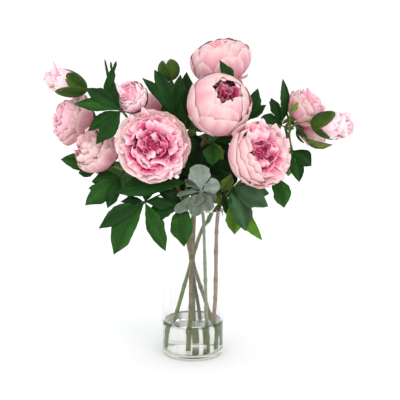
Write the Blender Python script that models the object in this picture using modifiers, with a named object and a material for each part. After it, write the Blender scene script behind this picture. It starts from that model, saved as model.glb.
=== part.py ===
"""Peonies in a glass vase: a Blender 4.5 model of the whole arrangement.

A straight glass cylinder stands on the origin with its mouth up (+Z) and its
front towards -Y. It holds water and seven cut stems. The stems carry nine
opened peony heads, four buds, compound leaves and one grey-green sprig.
Lengths below are in millimetres; objects are built in metres.
"""
import math

import bmesh
import bpy
from mathutils import Matrix, Vector

MM = 0.001
GAP = 0.3                     # clearance between neighbouring pieces

# ------------------------------------------------------------ glass and water
VASE_HEIGHT = 240.0
VASE_RADIUS = 50.0
VASE_WALL = 3.0
VASE_FLOOR = 8.0              # thickness of the glass base
FOOT_ROUND = 5.0              # outer radius where the wall meets the base
INNER_ROUND = 4.0             # inner radius where the wall meets the floor
WATER_LEVEL = 56.0
TURNS = 32                    # facets round the glass

# --------------------------------------------------------------- flower heads
# name: centre of the ball, direction it faces, radius, half depth, how far the
# petals close over the ball (90 = open bowl, 180 = shut)
HEADS = {
    "peony_top":    ((46, 32, 480), (-0.20, -0.40, 0.89), 50, 32, 140),
    "peony_middle": ((41, -58, 406), (0.20, -0.75, 0.62), 48, 45, 142),
    "peony_front":  ((-58, -85, 345), (0.02, -0.97, 0.22), 56, 34, 100),
    "peony_right":  ((99, -80, 331), (0.38, -0.91, 0.15), 50, 36, 108),
    "peony_far_left": ((-193, 10, 384), (-0.88, -0.30, 0.36), 40, 32, 112),
    "peony_low_left": ((-150, -42, 336), (-0.60, -0.55, 0.58), 35, 31, 120),
    "peony_back":   ((-68, 62, 394), (-0.35, 0.75, 0.55), 38, 32, 112),
    "peony_far_right": ((180, -10, 406), (0.68, -0.28, 0.68), 28, 30, 126),
    "peony_low_right": ((203, 26, 366), (0.93, -0.10, -0.30), 24, 31, 126),
}

# name: centre, direction, radius, half length, how far the green sepals reach
BUDS = {
    "bud_left":   ((-197, -30, 441), (-0.93, -0.18, 0.30), 19, 31, 92),
    "bud_centre": ((-92, -62, 418), (-0.40, -0.80, 0.42), 23, 23, 66),
    "bud_green":  ((-38, -4, 463), (-0.18, 0.05, 0.98), 16, 16, 122),
    "bud_right":  ((214, -50, 375), (0.85, -0.50, -0.15), 20, 31, 84),
}

# ---------------------------------------------------------------------- stems
# each stem: radius in the vase, radius at the tip, route from the vase floor,
# and the head it ends in; branches leave from the route and end in a head
STEMS = {
    "stem_top": (3.4, 2.6, [(3, 37, 9), (0, 38, 120), (4, 34, 238), (16, 31, 320), (36, 36, 392)], "peony_top"),
    "stem_middle": (3.5, 2.6, [(-6, -15, 9), (-4, -15, 65), (0, -16, 218), (7, -16, 312), (12, -15, 342)], "peony_middle"),
    "stem_front": (3.3, 2.6, [(35, 12, 9), (28, 14, 60), (7, 13, 126), (-8, 8, 183), (-11, 4, 236), (-26, -3, 280), (-44, -12, 312)], "peony_front"),
    "stem_right": (3.4, 2.6, [(31, -9, 9), (34, -9, 55), (37, -10, 106), (40, -10, 228), (58, -11, 276), (74, -12, 306)], "peony_right"),
    "stem_far_right": (3.3, 2.4, [(-36, -2, 9), (-29, 0, 57), (10, 2, 192), (27, 3, 222), (46, 4, 250), (88, 2, 294), (130, 2, 326), (152, 3, 350)], "peony_far_right"),
    "stem_far_left": (3.2, 2.4, [(14, 27, 9), (11, 28, 60), (0, 26, 125), (-17, 22, 236), (-48, 17, 286), (-95, 10, 328), (-130, 10, 355)], "peony_far_left"),
}
BRANCHES = [
    ("stem_top", 2.0, [(14, 32, 310), (-12, 18, 362), (-31, 2, 402), (-35, -3, 428)], "bud_green"),
    ("stem_top", 2.2, [(9, 33, 286), (-22, 36, 326), (-46, 30, 354)], "peony_back"),
    ("stem_front", 2.0, [(-22, -1, 270), (-48, 2, 330), (-66, -6, 378)], "bud_centre"),
    ("stem_far_right", 2.0, [(146, 2, 342), (158, 14, 364)], "peony_low_right"),
    ("stem_far_right", 2.0, [(152, 3, 350), (158, -12, 372)], "bud_right"),
    ("stem_far_left", 2.2, [(-60, 15, 297), (-92, 4, 303), (-114, -6, 306)], "peony_low_left"),
    ("stem_far_left", 2.0, [(-66, 14, 303), (-84, -10, 352), (-104, -40, 391), (-134, -36, 416)], "bud_left"),
]
SPRIG_STEM = (2.8, 2.2, [(23, -30, 9), (22, -29, 48), (20, -28, 126), (17, -31, 218), (15, -37, 240), (13, -52, 260), (13, -60, 268)])
SPRIG_HUB = (13, -66, 274)
SPRIG_LEAVES = [(8, -64, 315, 27), (41, -74, 286, 20), (-22, -78, 268, 13), (-23, -86, 246, 19), (27, -86, 250, 19),
                (2, -88, 240, 22), (6, -84, 262, 15), (-12, -58, 292, 14), (34, -56, 264, 16)]

# --------------------------------------------------------------------- leaves
# name: stem it grows from and where, hub where the leaflets meet, way the
# blades face, leaflet tips with their widths
FRONT, BACK = (0.0, -0.85, 0.53), (0.0, 0.85, 0.53)
LEAVES = {
    "leaf_upper_left": ("stem_far_left", (-104, -40, 391), (-106, -86, 397), FRONT,
        [(-122, -80, 472, 17), (-158, -84, 430, 19), (-176, -88, 407, 20), (-154, -98, 367, 18), (-141, -106, 348, 20)]),
    "leaf_by_bud": ("stem_top", (-20, 8, 372), (-30, -15, 386), FRONT,
        [(-79, -30, 449, 13), (-60, -24, 462, 18), (-19, -14, 455, 17)]),
    "leaf_behind_bud": ("stem_top", (0, 24, 345), (-20, 28, 382), FRONT,
        [(-10, 22, 462, 20), (2, 66, 438, 18), (-50, 24, 420, 16)]),
    "leaf_far_left": ("stem_far_left", (-90, 4, 303), (-148, 6, 312), FRONT,
        [(-213, -5, 321, 22), (-190, 26, 296, 18)]),
    "leaf_low_left": ("stem_far_left", (-75, 10, 300), (-112, -52, 297), FRONT,
        [(-163, -78, 255, 24), (-129, -80, 251, 18), (-158, -44, 288, 20)]),
    "leaf_drooping": ("stem_front", (-20, -1, 264), (-72, -87, 261), FRONT,
        [(-139, -108, 224, 19), (-115, -118, 185, 33), (-42, -112, 194, 28)]),
    "leaf_over_rim": ("stem_middle", (2, -16, 252), (-16, -68, 258), FRONT,
        [(-13, -92, 194, 27), (-62, -100, 231, 17), (-117, -92, 276, 30)]),
    "leaf_by_middle": ("stem_top", (36, 36, 392), (84, 8, 380), FRONT,
        [(104, -2, 434, 17), (44, -16, 460, 12), (118, 2, 408, 12)]),
    "leaf_upright": ("stem_far_right", (130, 2, 326), (141, -6, 376), FRONT,
        [(143, -5, 449, 13), (106, -30, 387, 20), (128, 24, 420, 15)]),
    "leaf_under_right_spray": ("stem_far_right", (146, 2, 342), (158, -16, 336), FRONT,
        [(186, -35, 312, 22), (167, -38, 287, 20), (149, -38, 296, 18)]),
    "leaf_right_drop": ("stem_far_right", (112, 2, 312), (130, -26, 295), FRONT,
        [(142, -52, 248, 24)]),
    "leaf_low_right": ("stem_right", (45, -10, 248), (62, -58, 281), FRONT,
        [(119, -50, 270, 20), (113, -90, 255, 22), (79, -94, 218, 28), (57, -90, 246, 15)]),
    "leaf_bright": ("stem_right", (52, -11, 262), (70, -38, 261), FRONT,
        [(64, -70, 209, 26), (107, -66, 199, 17), (96, -34, 214, 18)]),
    "leaf_under_middle": ("stem_middle", (12, -15, 342), (31, -32, 350), FRONT,
        [(29, -52, 318, 26), (48, -36, 322, 16)]),
    "leaf_between_front": ("stem_middle", (9, -16, 328), (-12, -12, 364), FRONT,
        [(6, -22, 362, 12), (-20, -26, 412, 20), (-44, -22, 346, 18), (-2, -30, 334, 18)]),
    "leaf_inner": ("stem_top", (11, 33, 292), (22, 12, 302), FRONT,
        [(-22, 8, 330, 18), (16, 14, 352, 20), (58, 10, 340, 20), (64, 24, 292, 18)]),
    "leaf_at_mouth": ("stem_right", (42, -10, 241), (44, -34, 270), FRONT,
        [(27, -46, 256, 13), (24, -48, 301, 12), (60, -46, 300, 12)]),
    "leaf_back_left": ("stem_top", (-22, 36, 326), (-56, 74, 328), BACK,
        [(-112, 92, 348, 22), (-104, 108, 292, 24), (-60, 116, 284, 26), (-24, 104, 312, 22), (-72, 96, 372, 20)]),
    "leaf_back_top": ("stem_top", (20, 33, 342), (22, 90, 362), BACK,
        [(22, 108, 430, 22), (-26, 112, 388, 20), (64, 118, 392, 20), (52, 130, 336, 24), (-4, 128, 322, 22)]),
    "leaf_back_right": ("stem_far_right", (88, 2, 294), (94, 66, 320), BACK,
        [(142, 90, 344, 21), (136, 104, 292, 23), (98, 118, 274, 25), (60, 106, 290, 20), (102, 80, 376, 20)]),
    "leaf_back_rim": ("stem_top", (5, 34, 250), (-6, 68, 272), BACK,
        [(-52, 100, 248, 22), (-18, 116, 228, 26), (28, 108, 236, 24), (44, 92, 268, 20)]),
    "leaf_back_far_left": ("stem_far_left", (-95, 10, 328), (-106, 44, 306), BACK,
        [(-160, 60, 300, 20), (-150, 76, 264, 22), (-112, 84, 248, 22)]),
    "leaf_back_far_right": ("stem_far_right", (146, 2, 342), (150, 36, 326), BACK,
        [(182, 52, 322, 18), (166, 62, 290, 20), (140, 66, 286, 18)]),
}

# ------------------------------------------------------------------ clean file
for old in list(bpy.data.objects):
    bpy.data.objects.remove(old, do_unlink=True)

PARTS = bpy.data.collections.new("peonies_in_a_vase")
CUTTERS = bpy.data.collections.new("cutters")
bpy.context.scene.collection.children.link(PARTS)
bpy.context.scene.collection.children.link(CUTTERS)


def material(name, colour, roughness, alpha=1.0, transmission=0.0):
    mat = bpy.data.materials.new(name)
    mat.use_nodes = True
    bsdf = mat.node_tree.nodes["Principled BSDF"]
    bsdf.inputs["Base Color"].default_value = (*colour, 1.0)
    bsdf.inputs["Roughness"].default_value = roughness
    bsdf.inputs["Metallic"].default_value = 0.0
    bsdf.inputs["Alpha"].default_value = alpha
    bsdf.inputs["Transmission Weight"].default_value = transmission
    mat.diffuse_color = (*colour, alpha)
    return mat


GLASS = ("glass", (0.92, 0.96, 0.95), 0.03, 0.3, 1.0)
WATER = ("water", (0.90, 0.93, 0.92), 0.02, 0.4, 1.0)
OUTER = ("outer_petals", (0.86, 0.60, 0.62), 0.8)
INNER = ("inner_petals", (0.62, 0.14, 0.28), 0.8)
BUD = ("bud_petals", (0.84, 0.52, 0.58), 0.8)
SEPAL = ("sepals", (0.13, 0.24, 0.06), 0.6)
LEAF = ("leaves", (0.03, 0.12, 0.03), 0.55)
STEM_BROWN = ("stem_brown", (0.22, 0.15, 0.09), 0.6)
STEM_GREEN = ("stem_green", (0.16, 0.24, 0.08), 0.6)
SPRIG = ("sprig", (0.30, 0.38, 0.30), 0.85)


def finish(obj, name, look, collection=PARTS):
    """Name the object, give it its own material and put it in its collection."""
    obj.name = name
    obj.data.name = name
    obj.data.materials.clear()
    if collection is PARTS:
        mat = material(name + "_" + look[0], *look[1:])
        obj.data.materials.append(mat)
    else:
        obj.hide_render = True
        obj.display_type = "WIRE"
    collection.objects.link(obj)
    return obj


def baked(obj):
    """The object's evaluated mesh in world space as a new, unlinked object."""
    bpy.context.scene.collection.objects.link(obj)
    deps = bpy.context.evaluated_depsgraph_get()
    deps.update()
    mesh = bpy.data.meshes.new_from_object(obj.evaluated_get(deps))
    mesh.transform(obj.matrix_world)
    bm = bmesh.new()
    bm.from_mesh(mesh)
    bmesh.ops.remove_doubles(bm, verts=bm.verts, dist=2e-6)
    bm.to_mesh(mesh)
    bm.free()
    bpy.data.objects.remove(obj, do_unlink=True)
    return bpy.data.objects.new("piece", mesh)


def volume_of(obj):
    """Volume inside a closed mesh, or None where it has an open edge."""
    bm = bmesh.new()
    bm.from_mesh(obj.data)
    closed = all(e.is_manifold for e in bm.edges)
    volume = bm.calc_volume(signed=True)
    bm.free()
    return volume if closed else None


def boolean(target, others, operation):
    """target joined with, or cut by, each of the others in turn."""
    for other in others:
        bpy.context.scene.collection.objects.link(other)
        before = volume_of(target)
        for solver in ("EXACT", "MANIFOLD"):
            trial = target.copy()
            mod = trial.modifiers.new("bool", "BOOLEAN")
            mod.operation = operation
            mod.solver = solver
            mod.object = other
            trial = baked(trial)
            after = volume_of(trial)
            sound = after is not None and (after > before if operation == "UNION" else after > 0.5 * before)
            if sound:
                break
        bpy.data.objects.remove(target, do_unlink=True)
        bpy.data.objects.remove(other, do_unlink=True)
        target = trial
    return target


def shell(bm, thickness, offset, centre=None):
    """An open surface thickened to a closed shell, inwards if it has a centre."""
    bmesh.ops.recalc_face_normals(bm, faces=bm.faces)
    if centre is not None:
        middle = Vector(centre) * MM
        if sum(f.normal.dot(f.calc_center_median() - middle) for f in bm.faces) < 0:
            bmesh.ops.reverse_faces(bm, faces=bm.faces)
    mesh = bpy.data.meshes.new("sheet")
    bm.to_mesh(mesh)
    bm.free()
    obj = bpy.data.objects.new("sheet", mesh)
    mod = obj.modifiers.new("thickness", "SOLIDIFY")
    mod.thickness = thickness * MM
    mod.offset = offset
    return baked(obj)


def solid(bm):
    bmesh.ops.recalc_face_normals(bm, faces=bm.faces)
    mesh = bpy.data.meshes.new("solid")
    bm.to_mesh(mesh)
    bm.free()
    return bpy.data.objects.new("solid", mesh)


def smooth_route(points, step):
    """A Catmull-Rom curve through the points, sampled about every step."""
    pts = [Vector(p) for p in points]
    pts = [2 * pts[0] - pts[1]] + pts + [2 * pts[-1] - pts[-2]]
    out = []
    for i in range(1, len(pts) - 2):
        p0, p1, p2, p3 = pts[i - 1:i + 3]
        n = max(1, round((p2 - p1).length / step))
        for k in range(n):
            t = k / n
            out.append(0.5 * (2 * p1 + (p2 - p0) * t + (2 * p0 - 5 * p1 + 4 * p2 - p3) * t * t
                              + (3 * p1 - p0 - 3 * p2 + p3) * t * t * t))
    return out + [pts[-2]]


def tube(points, radius_start, radius_end, resolution=1):
    """A round rod along the points, tapering from one radius to the other."""
    curve = bpy.data.curves.new("rod", "CURVE")
    curve.dimensions = "3D"
    curve.bevel_depth = MM
    curve.bevel_resolution = resolution
    curve.use_fill_caps = True
    spline = curve.splines.new("POLY")
    spline.points.add(len(points) - 1)
    for i, p in enumerate(points):
        spline.points[i].co = (*(Vector(p) * MM), 1.0)
        f = i / (len(points) - 1)
        spline.points[i].radius = radius_start + (radius_end - radius_start) * f
    return baked(bpy.data.objects.new("rod", curve))


def frame_of(axis):
    """A rotation whose Z runs along the axis."""
    return Vector(axis).normalized().to_track_quat("Z", "Y").to_matrix()


def cup(centre, axis, radius, depth, close, lobes, wave, point, thickness, around=14, rings=4):
    """A bowl of petals or sepals: a ball open at the top, its rim in lobes."""
    bm = bmesh.new()
    bmesh.ops.create_uvsphere(bm, u_segments=around, v_segments=rings + 4, radius=1.0)
    step = math.pi / (rings + 4)
    ring_of = {v: round((math.asin(max(-1.0, min(1.0, v.co.z))) + math.pi / 2) / step) for v in bm.verts}
    bmesh.ops.delete(bm, geom=[v for v in bm.verts if ring_of[v] > rings], context="VERTS")
    turn = frame_of(axis)
    for v in bm.verts:
        up = ring_of[v] / rings
        lon = math.atan2(v.co.y, v.co.x) if up > 0 else 0.0
        angle = math.radians(close) * up * (1 + point * up * math.cos(lobes * lon))
        swell = 1 + wave * up * math.cos(lobes * lon + 1.3)
        local = Vector((radius * math.sin(angle) * swell * math.cos(lon),
                        radius * math.sin(angle) * swell * math.sin(lon),
                        -depth * math.cos(angle)))
        v.co = (Vector(centre) + turn @ local) * MM
    return shell(bm, thickness, -1.0, centre)


def petal_roll(centre, axis, radius, depth, turns=2.2, segments=30):
    """The packed inner petals: one ruffled wall wound from the middle outwards."""
    bm = bmesh.new()
    bmesh.ops.create_grid(bm, x_segments=segments, y_segments=1, size=1.0)
    turn = frame_of(axis)
    for v in bm.verts:
        s, h = (v.co.x + 1) / 2, (v.co.y + 1) / 2
        phi = 2 * math.pi * turns * s
        r = radius * (0.12 + 0.56 * s) * (0.64 + 0.36 * h) + radius * 0.035 * h * math.sin(7 * phi)
        z = depth * ((-0.66 + 0.10 * s) * (1 - h) + (0.20 + 0.16 * math.sin(math.pi * s)) * h)
        v.co = (Vector(centre) + turn @ Vector((r * math.cos(phi), r * math.sin(phi), z))) * MM
    return shell(bm, 1.0, 0.0)


def bud_body(centre, axis, radius, length):
    """A closed bud of rolled petals with a blunt tip."""
    bm = bmesh.new()
    bmesh.ops.create_uvsphere(bm, u_segments=12, v_segments=7, radius=1.0)
    turn = frame_of(axis)
    for v in bm.verts:
        r = math.hypot(v.co.x, v.co.y)
        lon = math.atan2(v.co.y, v.co.x)
        ripple = 1 + 0.05 * r * math.cos(5 * lon) * max(0.0, v.co.z)
        taper = 1 - 0.22 * max(0.0, v.co.z)
        local = Vector((radius * r * ripple * taper * math.cos(lon), radius * r * ripple * taper * math.sin(lon), length * v.co.z))
        v.co = (Vector(centre) + turn @ local) * MM
    return solid(bm)


def leaflet(base, tip, width, facing, arch=0.10, thickness=0.8):
    """One blade from the hub to its tip, arched along its length."""
    base, tip = Vector(base), Vector(tip)
    along = (tip - base).normalized()
    base = base + along * 0.9
    length = (tip - base).length
    side = along.cross(Vector(facing))
    side.normalize()
    up = side.cross(along)
    bm = bmesh.new()
    bmesh.ops.create_grid(bm, x_segments=3, y_segments=2, size=1.0)
    for v in bm.verts:
        t, s = (v.co.x + 1) / 2, v.co.y
        half = 0.9 + (width / 2 - 0.9) * math.sin(math.pi * t ** 0.9) ** 0.9 if 0 < t < 1 else 0.9
        rise = arch * length * 4 * t * (1 - t) - 0.18 * abs(s) * half * math.sin(math.pi * t)
        v.co = (base + along * (t * length) + side * (s * half) + up * rise) * MM
    return shell(bm, thickness, 0.0)


def hub(centre, radius):
    bm = bmesh.new()
    bmesh.ops.create_icosphere(bm, subdivisions=1, radius=radius * MM)
    bmesh.ops.translate(bm, verts=bm.verts, vec=Vector(centre) * MM)
    return solid(bm)


def calyx(base, axis):
    """The small green cone under an opened flower head."""
    bm = bmesh.new()
    bmesh.ops.create_cone(bm, cap_ends=True, segments=8, radius1=2.6 * MM, radius2=8.5 * MM, depth=9 * MM)
    place = Matrix.Translation((Vector(base) - Vector(axis).normalized() * (4.5 + GAP)) * MM) @ frame_of(axis).to_4x4()
    bmesh.ops.transform(bm, matrix=place, verts=bm.verts)
    return solid(bm)


def turned(profile, steps=TURNS):
    """A profile of (radius, height) turned round the Z axis."""
    mesh = bpy.data.meshes.new("profile")
    mesh.from_pydata([(r * MM, 0.0, z * MM) for r, z in profile], [(i, i + 1) for i in range(len(profile) - 1)], [])
    obj = bpy.data.objects.new("profile", mesh)
    mod = obj.modifiers.new("turn", "SCREW")
    mod.axis = "Z"
    mod.steps = mod.render_steps = steps
    mod.use_merge_vertices = True
    mod.merge_threshold = 0.00001
    return obj


def arc(cx, cz, r, start, end, n):
    return [(cx + r * math.cos(math.radians(start + (end - start) * i / n)),
             cz + r * math.sin(math.radians(start + (end - start) * i / n))) for i in range(n + 1)]


# -------------------------------------------------------------------- the vase
inner = VASE_RADIUS - VASE_WALL
vase = turned(
    [(0.0, VASE_FLOOR)]
    + arc(inner - INNER_ROUND, VASE_FLOOR + INNER_ROUND, INNER_ROUND, -90, 0, 3)
    + arc(VASE_RADIUS - VASE_WALL / 2, VASE_HEIGHT - VASE_WALL / 2, VASE_WALL / 2, 180, 0, 4)
    + arc(VASE_RADIUS - FOOT_ROUND, FOOT_ROUND, FOOT_ROUND, 0, -90, 3)
    + [(0.0, 0.0)])
finish(vase, "glass_vase", GLASS)

# ------------------------------------------------------------- stems and heads
heads_all = {**HEADS, **BUDS}
SEPAL_WALL = 1.2
SEPAL_OUT = 2.6               # outer face of the sepals above the bud's petals


def head_base(name):
    """Where a stem ends under a head, and the way the head faces."""
    centre, axis, radius, depth, close = heads_all[name]
    axis = Vector(axis).normalized()
    out = GAP if name in HEADS else SEPAL_OUT + GAP
    return Vector(centre) - axis * (depth + out), axis


routes = {}
for name, (r0, r1, pts, head) in STEMS.items():
    end, axis = head_base(head)
    pts = [Vector(p) for p in pts] + [end - axis * 14, end - axis * GAP]
    routes[name] = (smooth_route(pts, 26), r0, r1)
routes["sprig_stem"] = (smooth_route(SPRIG_STEM[2], 26), SPRIG_STEM[0], SPRIG_STEM[1])

branch_routes = []
for owner, radius, pts, head in BRANCHES:
    end, axis = head_base(head)
    pts = [Vector(p) for p in pts] + [end - axis * 12, end - axis * GAP]
    branch_routes.append((owner, smooth_route(pts, 22), radius, head))


def nearest_on(owner, point):
    """The nearest point of a stem or its branches, its direction and radius."""
    best = None
    for path, ra, rb in ([(routes[owner][0], routes[owner][1], routes[owner][2])]
                         + [(p, r, r) for o, p, r, _ in branch_routes if o == owner]):
        for i in range(len(path) - 1):
            seg = path[i + 1] - path[i]
            t = max(0.0, min(1.0, (point - path[i]).dot(seg) / seg.length_squared))
            q = path[i] + seg * t
            gap = (point - q).length
            if best is None or gap < best[0]:
                f = (i + t) / (len(path) - 1)
                best = (gap, q, seg.normalized(), ra + (rb - ra) * f)
    return best[1:]


for name, (path, r0, r1) in routes.items():
    pieces = []
    if name in STEMS and STEMS[name][3] in HEADS:
        end, axis = head_base(STEMS[name][3])
        pieces.append(calyx(end + axis * GAP, axis))
    for owner, route, radius, head in branch_routes:
        if owner == name:
            pieces.append(tube(route, radius, radius * 0.9))
            if head in HEADS:
                end, axis = head_base(head)
                pieces.append(calyx(end + axis * GAP, axis))
    stem = boolean(tube(path, r0, r1, 2 if name != "sprig_stem" else 1), pieces, "UNION")
    finish(stem, name, STEM_BROWN if name in ("stem_middle", "stem_right", "stem_top") else STEM_GREEN)

for name, (centre, axis, radius, depth, close) in HEADS.items():
    big = radius > 35
    finish(cup(centre, axis, radius, depth, close, 5, 0.035, 0.05, 1.3, 14 if big else 12, 4),
           name + "_outer_petals", OUTER)
    finish(petal_roll(centre, axis, radius, depth, 2.2 if big else 1.6, 24 if big else 18),
           name + "_inner_petals", INNER)

for name, (centre, axis, radius, length, reach) in BUDS.items():
    finish(bud_body(centre, axis, radius, length), name + "_petals", BUD)
    finish(cup(centre, axis, radius + SEPAL_OUT, length + SEPAL_OUT, reach, 4, 0.0, 0.16, SEPAL_WALL, 12, 4),
           name + "_sepals", SEPAL)

# ---------------------------------------------------------------------- leaves
for name, (owner, start, centre, facing, tips) in LEAVES.items():
    centre = Vector(centre)
    start, direction, stem_radius = nearest_on(owner, Vector(start))
    stalk_radius = 1.3
    way = (centre - start).normalized()
    lean = abs(way.dot(direction))
    clear = (stem_radius + GAP + stalk_radius * lean) / math.sqrt(max(0.2, 1 - lean * lean)) + 0.7
    bend = (start + centre) / 2 + Vector((0, 0, 0.06 * (centre - start).length))
    first = start + way * clear
    stalk = tube(smooth_route([first, first + way * 2.0, bend + way * clear / 2, centre], 22), stalk_radius, stalk_radius)
    blades = [leaflet(centre, tip[:3], tip[3], facing) for tip in tips]
    finish(boolean(hub(centre, 2.6), [stalk] + blades, "UNION"), name, LEAF)

sprig_base = Vector(SPRIG_STEM[2][-1])
sprig_way = (Vector(SPRIG_HUB) - sprig_base).normalized()
stalk = tube([sprig_base + sprig_way * (GAP + 0.2), Vector(SPRIG_HUB)], 1.6, 1.6)
blades = [leaflet(SPRIG_HUB, leaf[:3], leaf[3], (0.05, -0.9, 0.43), 0.12, 1.0) for leaf in SPRIG_LEAVES]
finish(boolean(hub(SPRIG_HUB, 3.4), [stalk] + blades, "UNION"), "sprig_leaves", SPRIG)

# ------------------------------------------------------------------- the water
water_profile = ([(0.0, WATER_LEVEL), (inner - GAP, WATER_LEVEL)]
                 + arc(inner - INNER_ROUND, VASE_FLOOR + INNER_ROUND, INNER_ROUND - GAP, 0, -90, 3)
                 + [(0.0, VASE_FLOOR + GAP)])
water = baked(turned(water_profile))
holes = []
for name, (path, r0, r1) in routes.items():
    low = path[0] - (path[1] - path[0]).normalized() * 4
    route = [low] + [p for p in path if p.z < WATER_LEVEL + 70]
    n = len(path) - 1
    swell = GAP + 0.25
    holes.append(tube(route, r0 + swell, r0 + (r1 - r0) * (len(route) - 2) / n + swell, 2 if name != "sprig_stem" else 1))
water = boolean(water, holes, "DIFFERENCE")
finish(water, "water", WATER)
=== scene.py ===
"""The looks of the peonies in their glass vase.

Every petal, leaf, stem, glass wall and water surface is modelled here as a fine
mesh with its own procedural material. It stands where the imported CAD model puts
it: lengths in the tables are millimetres in the model's frame, with the origin
under the vase, +Z up and the front towards -Y.
"""
import math

import bpy
import numpy as np
from mathutils import Matrix, Vector


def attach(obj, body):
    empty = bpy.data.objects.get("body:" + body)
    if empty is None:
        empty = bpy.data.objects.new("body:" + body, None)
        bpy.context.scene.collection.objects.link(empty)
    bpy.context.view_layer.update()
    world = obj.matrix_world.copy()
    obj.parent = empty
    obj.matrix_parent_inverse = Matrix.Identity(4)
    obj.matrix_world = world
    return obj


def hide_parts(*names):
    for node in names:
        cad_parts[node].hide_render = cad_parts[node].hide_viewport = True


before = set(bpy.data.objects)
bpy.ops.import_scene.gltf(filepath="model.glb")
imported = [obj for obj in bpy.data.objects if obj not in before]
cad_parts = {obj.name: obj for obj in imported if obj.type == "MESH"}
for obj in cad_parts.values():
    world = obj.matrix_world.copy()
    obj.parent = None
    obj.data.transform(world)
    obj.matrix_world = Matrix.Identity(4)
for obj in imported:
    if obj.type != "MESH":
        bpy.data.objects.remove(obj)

MM = 0.001
PI = math.pi
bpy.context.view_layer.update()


# ============================================================ small mathematics
def unit(v):
    v = np.asarray(v, float)
    return v / (np.linalg.norm(v, axis=-1, keepdims=True) + 1e-12)


def frame_of(axis):
    """Columns X, Y, Z: Z along the axis, X towards the model's +X, Y up."""
    z = unit(axis)
    x = unit(np.array([1.0, 0.0, 0.0]) - z[0] * z)
    return np.stack([x, np.cross(z, x), z], 1)


def smooth(a, b, x):
    t = np.clip((x - a) / (b - a), 0.0, 1.0)
    return t * t * (3 - 2 * t)


def mix(a, b, t):
    t = np.asarray(t)[..., None]
    return a * (1 - t) + b * t


def lin(*rgb):
    """A display colour, 0 to 255, as linear light."""
    c = np.array(rgb, float) / 255.0
    return np.where(c <= 0.04045, c / 12.92, ((c + 0.055) / 1.055) ** 2.4)


def grid(nu, nv):
    return np.meshgrid(np.linspace(-1, 1, nu), np.linspace(0, 1, nv), indexing="ij")


def ripple(rng, u, v, fu, fv, n=5):
    """A smooth irregular wave over a sheet, about -1 to 1."""
    out = 0.0
    for _ in range(n):
        out = out + rng.uniform(0.5, 1.0) * np.sin(
            rng.uniform(0.55, 1.45) * fu * PI * u + rng.uniform(-1.0, 1.0) * fv * PI * v + rng.uniform(0, 2 * PI))
    return out / (0.75 * math.sqrt(n) * 1.1)


def curve_through(points, step):
    """A Catmull-Rom curve through the points, sampled about every step."""
    pts = [np.array(p, float) for p in points]
    pts = [2 * pts[0] - pts[1]] + pts + [2 * pts[-1] - pts[-2]]
    out = []
    for i in range(1, len(pts) - 2):
        p0, p1, p2, p3 = pts[i - 1:i + 3]
        n = max(1, round(float(np.linalg.norm(p2 - p1)) / step))
        for k in range(n):
            t = k / n
            out.append(0.5 * (2 * p1 + (p2 - p0) * t + (2 * p0 - 5 * p1 + 4 * p2 - p3) * t * t
                              + (3 * p1 - p0 - 3 * p2 + p3) * t * t * t))
    return np.array(out + [pts[-2]])


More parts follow.
